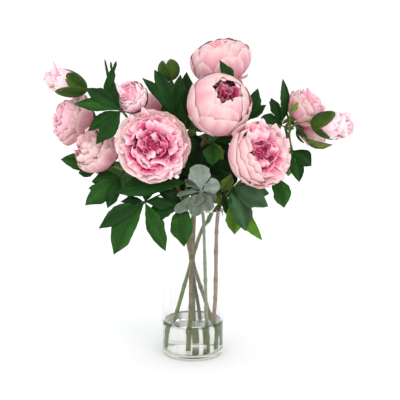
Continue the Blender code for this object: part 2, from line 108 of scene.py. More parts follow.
# =================================================================== mesh pieces
class Piece:
    """One visible piece: sheets and rods gathered into one mesh, in millimetres."""

    def __init__(self, name, node, slot, material):
        self.name, self.node, self.slot, self.material = name, node, slot, material
        self.co, self.col, self.tex, self.rim = [], [], [], []
        self.quads, self.tris = [], []
        self.count = 0

    def add(self, co, col, tex, rim=None, quads=None, tris=None):
        co = np.asarray(co, float).reshape(-1, 3)
        n = len(co)
        self.co.append(co)
        self.col.append(np.broadcast_to(np.asarray(col, float).reshape(-1, 3), (n, 3)))
        self.tex.append(np.broadcast_to(np.asarray(tex, float).reshape(-1, 3), (n, 3)))
        self.rim.append(np.zeros(n, bool) if rim is None else np.asarray(rim, bool).reshape(-1))
        if quads is not None and len(quads):
            self.quads.append(np.asarray(quads) + self.count)
        if tris is not None and len(tris):
            self.tris.append(np.asarray(tris) + self.count)
        self.count += n

    def sheet(self, mid, thick, top, bottom, tex):
        """A thin closed blade round the surface mid[i, j]: two faces that meet in a sharp rim."""
        nu, nv, _ = mid.shape
        nrm = unit(np.cross(np.gradient(mid, axis=0), np.gradient(mid, axis=1)))
        half = np.broadcast_to(np.asarray(thick, float), (nu, nv))[..., None] / 2
        inside = np.zeros((nu, nv), bool)
        inside[1:-1, 1:-1] = True
        up = np.where(inside[..., None], mid + nrm * half, mid)
        down = mid - nrm * half
        top = np.broadcast_to(top, (nu, nv, 3))
        bottom = np.broadcast_to(bottom, (nu, nv, 3))
        tex = np.broadcast_to(tex, (nu, nv, 3))
        ids = np.arange(nu * nv).reshape(nu, nv)
        low = ids.copy()
        low[1:-1, 1:-1] = nu * nv + np.arange((nu - 2) * (nv - 2)).reshape(nu - 2, nv - 2)

        def faces(k):
            return np.stack([k[:-1, :-1], k[1:, :-1], k[1:, 1:], k[:-1, 1:]], -1).reshape(-1, 4)

        rim = (~inside).reshape(-1)
        self.add(np.concatenate([up.reshape(-1, 3), down[1:-1, 1:-1].reshape(-1, 3)]),
                 np.concatenate([top.reshape(-1, 3), bottom[1:-1, 1:-1].reshape(-1, 3)]),
                 np.concatenate([tex.reshape(-1, 3), tex[1:-1, 1:-1].reshape(-1, 3)]),
                 np.concatenate([rim, np.zeros((nu - 2) * (nv - 2), bool)]),
                 np.concatenate([faces(ids), faces(low)[:, ::-1]]))

    def rod(self, path, radius, col, sides=14, seed=0, wobble=0.0, flat=1.0):
        """A closed round rod along the path; radius and colour may vary along it."""
        path = np.asarray(path, float)
        n = len(path)
        radius = np.broadcast_to(np.asarray(radius, float), (n,)).copy()
        col = np.broadcast_to(np.asarray(col, float), (n, 3))
        tangent = unit(np.gradient(path, axis=0))
        side = np.zeros_like(path)
        ref = np.array([1.0, 0.0, 0.0]) if abs(tangent[0][0]) < 0.8 else np.array([0.0, 1.0, 0.0])
        for i in range(n):
            ref = ref - tangent[i] * float(ref @ tangent[i])
            ref = unit(ref)
            side[i] = ref
        other = np.cross(tangent, side)
        ang = np.linspace(0, 2 * PI, sides, endpoint=False)
        rng = np.random.default_rng(seed)
        length = np.concatenate([[0], np.cumsum(np.linalg.norm(np.diff(path, axis=0), axis=1))])
        a, s = np.meshgrid(ang, length)
        r = radius[:, None] * (1 + wobble * ripple(rng, a / PI, s / 40, 2.0, 2.0))
        ring = (path[:, None] + side[:, None] * (np.cos(a) * r)[..., None]
                + other[:, None] * (np.sin(a) * r * flat)[..., None])
        co = ring.reshape(-1, 3)
        tex = np.stack([s, a * radius[:, None], np.full_like(s, rng.uniform(0, 50))], -1).reshape(-1, 3)
        cc = np.repeat(col, sides, 0)
        k = np.arange(n * sides).reshape(n, sides)
        nxt = np.roll(k, -1, 1)
        quads = np.stack([k[:-1], nxt[:-1], nxt[1:], k[1:]], -1).reshape(-1, 4)
        first, last = n * sides, n * sides + 1
        tris = np.concatenate([np.stack([nxt[0], k[0], np.full(sides, first)], -1),
                               np.stack([k[-1], nxt[-1], np.full(sides, last)], -1)])
        co = np.concatenate([co, [path[0], path[-1]]])
        cc = np.concatenate([cc, [col[0], col[-1]]])
        tex = np.concatenate([tex, [tex[0], tex[-1]]])
        rim = np.zeros(len(co), bool)
        rim[:sides] = True
        rim[(n - 1) * sides:n * sides] = True
        self.add(co, cc, tex, rim, quads, tris)

    def lathe(self, profile, steps, col=(1, 1, 1), closed_axis=True):
        """A profile of (radius, height) turned round Z; its first and last points lie on the axis."""
        prof = np.asarray(profile, float)
        body = prof[1:-1]
        ang = np.linspace(0, 2 * PI, steps, endpoint=False)
        ring = np.stack([body[:, :1] * np.cos(ang), body[:, :1] * np.sin(ang),
                         np.repeat(body[:, 1:], steps, 1)], -1)
        m = len(body)
        k = np.arange(m * steps).reshape(m, steps)
        nxt = np.roll(k, -1, 1)
        quads = np.stack([k[:-1], k[1:], nxt[1:], nxt[:-1]], -1).reshape(-1, 4)
        first, last = m * steps, m * steps + 1
        tris = np.concatenate([np.stack([np.full(steps, first), k[0], nxt[0]], -1),
                               np.stack([k[-1], np.full(steps, last), nxt[-1]], -1)])
        co = np.concatenate([ring.reshape(-1, 3), [[0, 0, prof[0, 1]], [0, 0, prof[-1, 1]]]])
        self.add(co, col, co, None, quads, tris)

    def build(self):
        mesh = bpy.data.meshes.new(self.name)
        co = np.concatenate(self.co) * MM
        quads = np.concatenate(self.quads) if self.quads else np.zeros((0, 4), int)
        tris = np.concatenate(self.tris) if self.tris else np.zeros((0, 3), int)
        loops = np.concatenate([quads.reshape(-1), tris.reshape(-1)]).astype(np.int32)
        total = np.concatenate([np.full(len(quads), 4), np.full(len(tris), 3)]).astype(np.int32)
        start = np.concatenate([[0], np.cumsum(total)[:-1]]).astype(np.int32)
        mesh.vertices.add(len(co))
        mesh.vertices.foreach_set("co", co.astype(np.float32).ravel())
        mesh.loops.add(len(loops))
        mesh.loops.foreach_set("vertex_index", loops)
        mesh.polygons.add(len(total))
        mesh.polygons.foreach_set("loop_start", start)
        mesh.polygons.foreach_set("loop_total", total)
        mesh.update(calc_edges=True)
        mesh.validate()
        mesh.polygons.foreach_set("use_smooth", np.ones(len(mesh.polygons), bool))
        rgba = np.concatenate([np.clip(np.concatenate(self.col), 0, 1), np.ones((len(co), 1))], 1)
        att = mesh.attributes.new("tint", "FLOAT_COLOR", "POINT")
        att.data.foreach_set("color", rgba.astype(np.float32).ravel())
        att = mesh.attributes.new("place", "FLOAT_VECTOR", "POINT")
        att.data.foreach_set("vector", np.concatenate(self.tex).astype(np.float32).ravel())
        edges = np.empty(len(mesh.edges) * 2, np.int32)
        mesh.edges.foreach_get("vertices", edges)
        rim = np.concatenate(self.rim)[edges.reshape(-1, 2)].all(1)
        att = mesh.attributes.new("sharp_edge", "BOOLEAN", "EDGE")
        att.data.foreach_set("value", rim)
        mesh.update()
        obj = bpy.data.objects.new(self.name, mesh)
        bpy.context.scene.collection.objects.link(obj)
        mesh.materials.append(self.material)
        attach(obj, "root")
        if self.node:
            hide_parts(self.node)
        return obj


# ===================================================================== materials
def new_material(name):
    mat = bpy.data.materials.new(name)
    mat.use_nodes = True
    tree = mat.node_tree
    tree.nodes.clear()
    out = tree.nodes.new("ShaderNodeOutputMaterial")
    bsdf = tree.nodes.new("ShaderNodeBsdfPrincipled")
    tree.links.new(bsdf.outputs["BSDF"], out.inputs["Surface"])
    return mat, tree, bsdf, out


def attribute(tree, name):
    node = tree.nodes.new("ShaderNodeAttribute")
    node.attribute_type = "GEOMETRY"
    node.attribute_name = name
    return node


def math_node(tree, op, a, b=None, c=None, clamp=False):
    node = tree.nodes.new("ShaderNodeMath")
    node.operation = op
    node.use_clamp = clamp
    for i, v in enumerate((a, b, c)):
        if v is None:
            continue
        if isinstance(v, (int, float)):
            node.inputs[i].default_value = v
        else:
            tree.links.new(v, node.inputs[i])
    return node.outputs[0]


def scaled(tree, vector, x, y, z):
    node = tree.nodes.new("ShaderNodeVectorMath")
    node.operation = "MULTIPLY"
    tree.links.new(vector, node.inputs[0])
    node.inputs[1].default_value = (x, y, z)
    return node.outputs[0]


def noise(tree, vector, scale, detail=3.0, rough=0.55):
    node = tree.nodes.new("ShaderNodeTexNoise")
    node.inputs["Scale"].default_value = scale
    node.inputs["Detail"].default_value = detail
    node.inputs["Roughness"].default_value = rough
    tree.links.new(vector, node.inputs["Vector"])
    return node.outputs["Fac"]


def ranged(tree, value, a, b, c, d):
    node = tree.nodes.new("ShaderNodeMapRange")
    tree.links.new(value, node.inputs["Value"])
    for key, v in zip(("From Min", "From Max", "To Min", "To Max"), (a, b, c, d)):
        node.inputs[key].default_value = v
    return node.outputs["Result"]


def blend(tree, fac, a, b, mode="MIX"):
    node = tree.nodes.new("ShaderNodeMix")
    node.data_type = "RGBA"
    node.blend_type = mode
    for key, v in ((0, fac), (6, a), (7, b)):
        if isinstance(v, (int, float)):
            node.inputs[key].default_value = v
        elif isinstance(v, tuple):
            node.inputs[key].default_value = (*v, 1.0)
        else:
            tree.links.new(v, node.inputs[key])
    return node.outputs[2]


def bump(tree, height, strength, distance, bsdf):
    node = tree.nodes.new("ShaderNodeBump")
    node.inputs["Strength"].default_value = strength
    node.inputs["Distance"].default_value = distance
    tree.links.new(height, node.inputs["Height"])
    tree.links.new(node.outputs["Normal"], bsdf.inputs["Normal"])


def petal_material(name, vein, rough, subsurface):
    """Fine fabric petal: tint of the mesh, lengthwise veins, soft weave and a matte sheen."""
    mat, tree, bsdf, _ = new_material(name)
    tint = attribute(tree, "tint").outputs["Color"]
    place = attribute(tree, "place").outputs["Vector"]
    streak = noise(tree, scaled(tree, place, 0.55, 0.045, 1.0), 1.0, 4.0, 0.6)
    cloud = noise(tree, scaled(tree, place, 0.06, 0.05, 1.0), 1.0, 2.0, 0.5)
    weave = noise(tree, scaled(tree, place, 2.4, 2.4, 1.0), 1.0, 2.0, 0.5)
    deep = blend(tree, 1.0, tint, vein, "MULTIPLY")
    col = blend(tree, ranged(tree, streak, 0.48, 0.72, 0.0, 0.55), tint, deep)
    col = blend(tree, ranged(tree, cloud, 0.40, 0.70, 0.0, 0.35), col, deep)
    tree.links.new(col, bsdf.inputs["Base Color"])
    tree.links.new(ranged(tree, weave, 0.3, 0.7, rough - 0.06, rough + 0.08), bsdf.inputs["Roughness"])
    bsdf.inputs["Specular IOR Level"].default_value = 0.10
    bsdf.inputs["Sheen Weight"].default_value = 0.05
    bsdf.inputs["Sheen Roughness"].default_value = 0.5
    bsdf.inputs["Subsurface Weight"].default_value = subsurface
    bsdf.inputs["Subsurface Radius"].default_value = (1.0, 0.45, 0.4)
    bsdf.inputs["Subsurface Scale"].default_value = 0.0010
    height = math_node(tree, "ADD", math_node(tree, "MULTIPLY", streak, 1.0), math_node(tree, "MULTIPLY", weave, 0.35))
    bump(tree, height, 0.35, 0.0006, bsdf)
    return mat


def leaf_material(name, rough, spacing=6.5, vein_light=0.5, long_veins=False):
    """Satin leaf: midrib and side veins, mottling and a slightly waxy surface."""
    mat, tree, bsdf, _ = new_material(name)
    tint = attribute(tree, "tint").outputs["Color"]
    place = attribute(tree, "place").outputs["Vector"]
    split = tree.nodes.new("ShaderNodeSeparateXYZ")
    tree.links.new(place, split.inputs[0])
    across = math_node(tree, "ABSOLUTE", split.outputs["X"])
    along = split.outputs["Y"]
    wander = noise(tree, scaled(tree, place, 0.12, 0.12, 1.0), 1.0, 2.0, 0.5)
    if long_veins:
        q = math_node(tree, "DIVIDE", across, spacing)
    else:
        q = math_node(tree, "DIVIDE", math_node(tree, "SUBTRACT", along, math_node(tree, "MULTIPLY", across, 1.1)), spacing)
    q = math_node(tree, "ADD", q, math_node(tree, "MULTIPLY", wander, 0.5))
    tri = math_node(tree, "ABSOLUTE", math_node(tree, "SUBTRACT", math_node(tree, "FRACT", q), 0.5))
    side = ranged(tree, tri, 0.42, 0.5, 0.0, 0.55)
    rib = ranged(tree, across, 0.35, 1.0, 1.0, 0.0)
    veins = math_node(tree, "MAXIMUM", side, rib)
    cloud = noise(tree, scaled(tree, place, 0.09, 0.06, 1.0), 1.0, 3.0, 0.6)
    fine = noise(tree, scaled(tree, place, 0.9, 0.9, 1.0), 1.0, 3.0, 0.6)
    light = blend(tree, 0.35, tint, (0.30, 0.48, 0.18), "MIX")
    dark = blend(tree, 1.0, tint, (0.55, 0.62, 0.50), "MULTIPLY")
    col = blend(tree, ranged(tree, cloud, 0.38, 0.68, 0.0, 0.75), tint, dark)
    col = blend(tree, math_node(tree, "MULTIPLY", veins, vein_light * 0.35), col, light)
    tree.links.new(col, bsdf.inputs["Base Color"])
    tree.links.new(ranged(tree, fine, 0.3, 0.7, rough - 0.07, rough + 0.1), bsdf.inputs["Roughness"])
    bsdf.inputs["Specular IOR Level"].default_value = 0.09
    bsdf.inputs["Subsurface Weight"].default_value = 0.0
    height = math_node(tree, "ADD", math_node(tree, "MULTIPLY", veins, -0.8), math_node(tree, "MULTIPLY", fine, 0.35))
    bump(tree, height, 0.5, 0.0006, bsdf)
    return mat


def stem_material(name, rough, contrast):
    """Bark or rind: lengthwise fibres, speckle and shallow ridges."""
    mat, tree, bsdf, _ = new_material(name)
    tint = attribute(tree, "tint").outputs["Color"]
    place = attribute(tree, "place").outputs["Vector"]
    fibre = noise(tree, scaled(tree, place, 0.08, 1.1, 1.0), 1.0, 4.0, 0.65)
    patch = noise(tree, scaled(tree, place, 0.07, 0.15, 1.0), 1.0, 3.0, 0.6)
    speck = noise(tree, scaled(tree, place, 0.9, 0.9, 1.0), 1.0, 2.0, 0.5)
    dark = blend(tree, 1.0, tint, (0.42, 0.36, 0.30), "MULTIPLY")
    light = blend(tree, 0.5, tint, (0.55, 0.52, 0.36), "MIX")
    col = blend(tree, ranged(tree, fibre, 0.42, 0.70, 0.0, contrast), tint, dark)
    col = blend(tree, ranged(tree, patch, 0.45, 0.70, 0.0, contrast * 0.8), col, light)
    tree.links.new(col, bsdf.inputs["Base Color"])
    tree.links.new(ranged(tree, speck, 0.3, 0.7, rough - 0.1, rough + 0.12), bsdf.inputs["Roughness"])
    bsdf.inputs["Specular IOR Level"].default_value = 0.12
    height = math_node(tree, "ADD", fibre, math_node(tree, "MULTIPLY", speck, 0.4))
    bump(tree, height, 0.6, 0.0008, bsdf)
    return mat


def flock_material(name):
    """Velvety flocked leaf: fine pile, pale bloom and a strong sheen."""
    mat, tree, bsdf, _ = new_material(name)
    tint = attribute(tree, "tint").outputs["Color"]
    place = attribute(tree, "place").outputs["Vector"]
    pile = noise(tree, scaled(tree, place, 2.2, 2.2, 1.0), 1.0, 3.0, 0.7)
    cloud = noise(tree, scaled(tree, place, 0.14, 0.10, 1.0), 1.0, 3.0, 0.6)
    dark = blend(tree, 1.0, tint, (0.50, 0.56, 0.50), "MULTIPLY")
    light = blend(tree, 0.45, tint, (0.80, 0.84, 0.78), "MIX")
    col = blend(tree, ranged(tree, cloud, 0.38, 0.65, 0.0, 0.7), tint, dark)
    col = blend(tree, ranged(tree, pile, 0.45, 0.75, 0.0, 0.45), col, light)
    tree.links.new(col, bsdf.inputs["Base Color"])
    bsdf.inputs["Roughness"].default_value = 0.9
    bsdf.inputs["Specular IOR Level"].default_value = 0.2
    bsdf.inputs["Sheen Weight"].default_value = 0.35
    bsdf.inputs["Sheen Roughness"].default_value = 0.4
    bump(tree, pile, 0.7, 0.0006, bsdf)
    return mat


def clear_material(name, ior, colour, density, rough=0.0):
    """Clear glass or water: constants on the shader, a faint tint in the thickness, and tiny surface waves."""
    mat, tree, bsdf, out = new_material(name)
    bsdf.inputs["Base Color"].default_value = (1.0, 1.0, 1.0, 1.0)
    bsdf.inputs["Roughness"].default_value = rough
    bsdf.inputs["IOR"].default_value = ior
    bsdf.inputs["Transmission Weight"].default_value = 1.0
    vol = tree.nodes.new("ShaderNodeVolumeAbsorption")
    vol.inputs["Color"].default_value = (*colour, 1.0)
    vol.inputs["Density"].default_value = density
    tree.links.new(vol.outputs["Volume"], out.inputs["Volume"])
    coord = tree.nodes.new("ShaderNodeTexCoord")
    wave = noise(tree, coord.outputs["Object"], 22.0, 1.0, 0.5)
    bump(tree, wave, 0.04, 0.001, bsdf)
    return mat


MAT_OUTER = petal_material("petal_outer", (0.96, 0.80, 0.82), 0.72, 0.30)
MAT_INNER = petal_material("petal_inner", (0.96, 0.74, 0.78), 0.74, 0.30)
MAT_BUD = petal_material("petal_bud", (0.96, 0.76, 0.82), 0.72, 0.30)
MAT_SEPAL = leaf_material("sepal_green", 0.55, 1.7, 0.25, True)
MAT_LEAF = leaf_material("leaf_green", 0.50, 6.5, 0.28)
MAT_BROWN = stem_material("stem_bark", 0.62, 0.75)
MAT_GREEN = stem_material("stem_rind", 0.52, 0.5)
MAT_SPRIG = flock_material("sprig_flock")
MAT_GLASS = clear_material("vase_glass", 1.5, (0.62, 0.68, 0.46), 7.0)
MAT_WATER = clear_material("vase_water", 1.33, (0.74, 0.82, 0.50), 1.6)

# ================================================================== flower heads
GAIN = 0.86                   # light on a face that looks up at the lamps is above one


def tone(*rgb):
    return lin(*rgb) * GAIN


# name: centre, direction it faces, radius, half depth
HEADS = {
    "peony_top": ((45, 32, 480), (-0.20, -0.40, 0.89), 50, 32),
    "peony_middle": ((39.5, -58, 407), (0.26, -0.85, 0.45), 48, 46),
    "peony_front": ((-58, -85, 345), (0.02, -0.97, 0.22), 56, 34),
    "peony_right": ((99, -80, 331), (0.38, -0.91, 0.15), 50, 36),
    "peony_far_left": ((-193, 10, 384), (-0.88, -0.30, 0.36), 40, 32),
    "peony_low_left": ((-150, -42, 336), (-0.60, -0.55, 0.58), 35, 31),
    "peony_back": ((-68, 62, 394), (-0.35, 0.75, 0.55), 38, 32),
    "peony_far_right": ((180, -10, 402.5), (0.68, -0.28, 0.68), 28, 30),
    "peony_low_right": ((203, 26, 366), (0.93, -0.10, -0.30), 24, 31),
}
CAD_AXIS = {"peony_middle": (0.20, -0.75, 0.62)}

OUT_FACE = (tone(240, 140, 162), tone(253, 200, 206), tone(255, 232, 228))
# painted light: the inside faces of open guard petals, a brighter copy of OUT_FACE left without GAIN to offset the
# shade inside the cups
GUARD_FACE_PAINTED_LIGHT = (lin(246, 150, 172), lin(255, 212, 216), lin(255, 238, 234))
OUT_BACK = (tone(216, 124, 142), tone(238, 172, 184), tone(252, 222, 218))
IN_FACE = (lin(158, 0, 60), lin(220, 84, 136), lin(252, 200, 214))
IN_BACK = (lin(172, 8, 72), lin(230, 124, 162), lin(254, 210, 220))
LIGHT_FACE = (lin(196, 28, 94), lin(244, 154, 180), lin(255, 222, 226))
SALMON = (lin(206, 70, 100), lin(238, 150, 156), lin(254, 214, 210))


def petal_colours(cols, u, v, end, rng, shift=0.0, edge=0.06):
    """Base, middle and rim colours over a petal; v runs to 1 at its rim."""
    base, mid, rim = cols
    warp = 0.07 * ripple(rng, u, v, 2.5, 2.0)
    c = mix(base, mid, smooth(0.16 + shift, 0.76 + shift, v + warp))
    c = mix(c, rim, smooth(0.66 + shift, 1.04 + shift, v + warp) * 0.85)
    near = np.minimum((1 - v) * 1.0, (1 - np.abs(u)) * 1.2)
    return mix(c, rim, (1 - smooth(0.0, edge, near)) * 0.8)


def ball_petal(pc, head, phi, wide, a1, a0=12.0, rho=1.0, tip=0.0, k=0.22, p=2.4, ruffle=0.012, waves=2.4,
               edge=0.0, tilt=0.0, notch=0.04, seed=0, face=OUT_BACK, inside=OUT_FACE, thick=0.7, nu=26, nv=22,
               base=0.55, skew=0.0, shift=0.0, fray=0.007, lift=0.0, box=1.0, flare=0.45):
    """A broad petal that follows the ball of the flower from its base to the angle a1."""
    (centre, frame_, radius, depth) = head
    rng = np.random.default_rng(seed)
    u, v = grid(nu, nv)
    end = 1 - k * np.abs(u) ** p
    end = end - notch * np.exp(-((u - rng.uniform(-0.35, 0.35)) / 0.16) ** 2)
    end = end + fray * ripple(rng, u, 0 * v, 9, 0) + 0.5 * fray * ripple(rng, u, 0 * v, 22, 0)
    ve = v * end
    ang = np.radians(a0 + (a1 - a0) * ve)
    w = base + (1 - base) * np.sin(np.clip(v / 0.62, 0, 1) * PI / 2)
    az = math.radians(phi) + u * math.radians(wide) * w + math.radians(skew) * v
    r = (rho + tip * smooth(flare, 1.05, v) ** 1.5 + tilt * u * smooth(0.0, 0.5, v) + edge * np.abs(u) ** 3 * v
         + lift * smooth(0.86, 1.0, v)
         + ruffle * ripple(rng, u, v, waves, 1.2) * v ** 2 + 0.35 * ruffle * ripple(rng, u, v, waves * 3, 2.0) * v ** 3)
    out = np.maximum(np.sin(ang), 0.001) ** box
    level = -np.sign(np.cos(ang)) * np.abs(np.cos(ang)) ** box
    local = np.stack([radius * r * out * np.cos(az), radius * r * out * np.sin(az), depth * r * level], -1)
    pos = np.asarray(centre, float) + local @ frame_.T
    tex = np.stack([u * w * radius * math.radians(wide), ve * radius * math.radians(a1 - a0),
                    np.full_like(u, rng.uniform(0, 90))], -1)
    pc.sheet(pos, thick, petal_colours(face, u, v, end, rng, shift), petal_colours(inside, u, v, end, rng, shift), tex)


def bezier(prof, t):
    p0, p1, p2, p3 = [np.array(q, float) for q in prof]
    t = t[..., None]
    return (1 - t) ** 3 * p0 + 3 * (1 - t) ** 2 * t * p1 + 3 * (1 - t) * t * t * p2 + t ** 3 * p3


def cup_petal(pc, head, phi, half, prof, k=0.30, p=2.2, ruffle=2.0, waves=2.6, fine=0.35, notch=0.10, flare=0.0,
              tilt=0.0, zwave=1.5, seed=0, face=IN_BACK, inside=IN_FACE, thick=0.5, nu=17, nv=14, base=0.35,
              shift=0.0, fray=0.02, twist=0.0, off=(0.0, 0.0)):
    """A free petal: a profile (radius, height) in millimetres carried sideways round the flower's axis."""
    (centre, frame_, radius, depth) = head
    rng = np.random.default_rng(seed)
    u, v = grid(nu, nv)
    end = 1 - k * np.abs(u) ** p
    end = end - notch * np.exp(-((u - rng.uniform(-0.5, 0.5)) / 0.18) ** 2)
    end = end + fray * ripple(rng, u, 0 * v, 7, 0)
    ve = v * end
    q = bezier(prof, ve)
    dq = bezier(prof, np.clip(ve + 0.02, 0, 1.02)) - bezier(prof, ve - 0.02)
    dq = unit(dq)
    nr, nz = dq[..., 1], -dq[..., 0]
    w = half * (base + (1 - base) * np.sin(np.clip(v / 0.75, 0, 1) * PI / 2))
    rr, zz = q[..., 0], q[..., 1]
    az = math.radians(phi) + u * w / np.maximum(rr, 0.42 * half) + twist * v
    push = (ruffle * ripple(rng, u, v, waves, 1.0) * v ** 1.4
            + fine * ruffle * ripple(rng, u, v, waves * 2.6, 2.0) * v ** 2
            + flare * half * u * u * v + tilt * half * u * v)
    rr = rr + push * nr
    zz = zz + push * nz + zwave * ripple(rng, u, 0 * v, 2.5, 0) * v ** 2
    local = np.stack([rr * np.cos(az) + off[0] * v, rr * np.sin(az) + off[1] * v, zz], -1)
    pos = np.asarray(centre, float) + local @ frame_.T
    length = float(np.linalg.norm(np.diff(bezier(prof, np.linspace(0, 1, 9)), axis=0), axis=1).sum())
    tex = np.stack([u * w, ve * length, np.full_like(u, rng.uniform(0, 90))], -1)
    pc.sheet(pos, thick, petal_colours(face, u, v, end, rng, shift), petal_colours(inside, u, v, end, rng, shift), tex)


def scoop(pc, head, at, toward, wide, tall, z, rise=0.75, cup=0.22, curl=0.12, seed=0, face=IN_BACK, inside=LIGHT_FACE,
          thick=0.5, nu=21, nv=17, k=0.16, p=3.4, ruffle=0.06, waves=1.6, shift=0.0, notch=0.10, base=0.55):
    """A crumpled petal that lies open towards the viewer of the flower: at is its middle, toward the way its rim points."""
    (centre, frame_, radius, depth) = head
    rng = np.random.default_rng(seed)
    u, v = grid(nu, nv)
    end = 1 - k * np.abs(u) ** p
    end = end - notch * np.exp(-((u - rng.uniform(-0.5, 0.5)) / 0.2) ** 2) + 0.02 * ripple(rng, u, 0 * v, 6, 0)
    ve = np.clip(v * end, 0, 1)
    e = np.array([math.cos(math.radians(toward)), math.sin(math.radians(toward))])
    side = np.array([e[1], -e[0]])
    w = wide / 2 * (base + (1 - base) * np.sin(np.clip(v / 0.7, 0, 1) * PI / 2))
    run = tall * (-0.62 + 1.12 * ve ** 0.9)
    height = (z - rise * tall * (1 - ve) ** 1.7 - curl * tall * smooth(0.72, 1.05, ve) + cup * wide * (u * u) * (0.3 + 0.7 * v)
              + ruffle * wide * ripple(rng, u, v, waves, 1.0) * (0.3 + 0.7 * v)
              + 0.25 * ruffle * wide * ripple(rng, u, v, waves * 3, 2.0) * v)
    bow = 0.10 * wide * ripple(rng, u, v, 1.0, 1.0) * v
    local = np.stack([at[0] + e[0] * run + side[0] * (u * w) + e[0] * bow, at[1] + e[1] * run + side[1] * (u * w) + e[1] * bow, height], -1)
    pos = np.asarray(centre, float) + local @ frame_.T
    tex = np.stack([u * w, ve * tall, np.full_like(u, rng.uniform(0, 90))], -1)
    pc.sheet(pos, thick, petal_colours(inside, u, v, end, rng, shift, 0.10), petal_colours(face, u, v, end, rng, shift, 0.10), tex)


# open rims spread a little wider than the ball under them
SPREAD = {"peony_top": 0.97, "peony_front": 0.93, "peony_right": 0.955, "peony_far_right": 1.10, "peony_low_right": 1.06, "peony_far_left": 1.0}


def core(pc, head, wide, low, top, col, seed):
    """The closely folded petals deep inside a head, one rounded lump under the loose ones."""
    (centre, frame_, radius, depth) = head
    z = np.linspace(low, top, 12)
    t = np.clip((z - max(low, 0.0 if top > 0 else low)) / (top - max(low, 0.0 if top > 0 else low)), 0, 1)
    r = wide * np.sqrt(np.clip(1 - (t / 1.02) ** 2, 0.01, 1))
    path = np.asarray(centre, float) + np.stack([0 * z, 0 * z, z], -1) @ frame_.T
    pc.rod(path, r, col, 28, seed, 0.14)


def head_of(name):
    centre, axis, radius, depth = HEADS[name]
    return (centre, frame_of(axis), radius * SPREAD.get(name, 1.0), depth)


def ruffles(pc, head, seed, rings, low=-0.62, scale=1.0, face=IN_BACK, inside=IN_FACE):
    """Rings of crumpled inner petals: (radius, petals, rim height, ruffle, colour shift) in parts of the radius."""
    radius, depth = head[2], head[3]
    rng = np.random.default_rng(seed)
    for i, (f, n, z, ruf, shift) in enumerate(rings):
        turn = rng.uniform(0, 360)
        for j in range(n):
            phi = turn + 360 * (j + rng.uniform(-0.25, 0.25)) / n
            rim = f * radius * rng.uniform(0.86, 1.10)
            top = z * radius + rng.uniform(-0.09, 0.07) * radius
            inward = rng.uniform() < 0.5
            if inward:
                prof = [(rim * 0.35 + 1.0, low * depth), (rim * 1.05, low * depth * 0.6), (rim * 1.16, top * 0.75), (rim * 0.84, top * 1.02)]
            else:
                prof = [(rim * 0.30 + 1.0, low * depth), (rim * 0.74, low * depth * 0.7), (rim * 0.86, top * 0.85), (rim * 1.12, top)]
            half = (PI * f * radius / n) * rng.uniform(1.10, 1.40) + 1.5
            cup_petal(pc, head, phi, half, prof, seed=seed * 1000 + i * 50 + j, ruffle=ruf * rng.uniform(0.7, 1.3) * scale,
                      zwave=1.3 * scale, waves=rng.uniform(1.4, 2.4), fine=0.16, tilt=rng.uniform(-0.14, 0.14), flare=rng.uniform(-0.16, 0.05),
                      shift=shift + rng.uniform(-0.10, 0.08), notch=rng.uniform(0.02, 0.14), k=rng.uniform(0.22, 0.42),
                      face=face, inside=inside)


# explicit crumpled petals of the two opened flowers, as seen from in front of each flower:
# middle (x, y), the way the rim points, width, length, height, colour shift
FRONT_HEART = [
    ((-20, 16), 100, 15, 12, 6, -0.30), ((-25, 28), 125, 18, 14, 4, -0.26), ((-17, 3), 170, 13, 14, 6, 0.00), ((-22, -12), 235, 21, 17, 6, -0.30),
    ((-5, -13), 262, 15, 14, 8, -0.38), ((-9, -24), 258, 18, 12, 6, -0.30), ((-10, -37), 255, 20, 13, 3, 0.24), ((-34, -19), 215, 18, 13, 3, 0.14),
    ((-41, -4), 180, 12, 16, 4, -0.21), ((2, 12), 92, 8, 17, 7, -0.30), ((15, 0), 55, 12, 15, 3, 0.12), ((12, -26), 275, 26, 11, 6, -0.28),
    ((19, -34), -65, 30, 11, 6, -0.32), ((0, 30), 92, 20, 12, 6, -0.28), ((-13, 36), 110, 20, 12, 5, 0.12), ((30, -2), -5, 22, 9, 4, -0.36),
    ((33, -22), -38, 24, 13, 5, -0.28), ((22, 22), 45, 30, 16, 5, -0.51), ((36, 8), 12, 24, 14, 5, -0.41), ((-38, 14), 160, 22, 15, 5, -0.31),
    ((-3, 43), 95, 28, 13, 6, -0.13), ((17, 37), 65, 28, 13, 6, -0.41), ((40, -12), -18, 26, 12, 7, -0.26), ((-25, -33), 235, 24, 12, 5, -0.28),
    ((7, -42), 278, 28, 12, 7, -0.31), ((30, -36), -52, 26, 12, 7, -0.28), ((-33, 29), 140, 22, 13, 6, -0.21), ((5, -6), 300, 8, 11, 3, 0.10),
    ((-10, 10), 100, 8, 12, 3, 0.12), ((24, 10), 30, 12, 12, 2, 0.10),
]
RIGHT_HEART = [
    ((22, 8), 35, 12, 13, 8, -0.42), ((8, -9), 275, 17, 18, 8, -0.36), ((26, -17), -35, 17, 13, 1, 0.14), ((16, -27), -75, 28, 11, 5, -0.31),
    ((21, -34), -65, 28, 10, 6, -0.28), ((-13, 26), 100, 16, 22, 6, -0.46), ((3, 29), 82, 19, 18, 6, -0.36), ((27, 21), 40, 28, 20, 2, -0.14),
    ((41, 11), 12, 24, 13, 7, -0.46), ((38, -8), -15, 24, 13, 5, -0.26), ((-22, 12), 165, 20, 16, 7, -0.25), ((36, -24), -35, 22, 12, 6, -0.28),
    ((30, 32), 50, 26, 13, 7, -0.41), ((10, 40), 78, 26, 13, 7, -0.36), ((-4, 10), 120, 9, 12, 2, 0.15), ((12, 2), 0, 8, 12, 2, 0.15),
    ((-4, -8), 200, 12, 16, 5, -0.10), ((14, 16), 60, 12, 13, 1, 0.12), ((2, -38), 262, 26, 12, 5, -0.32), ((-10, 40), 105, 22, 12, 5, -0.11),
]


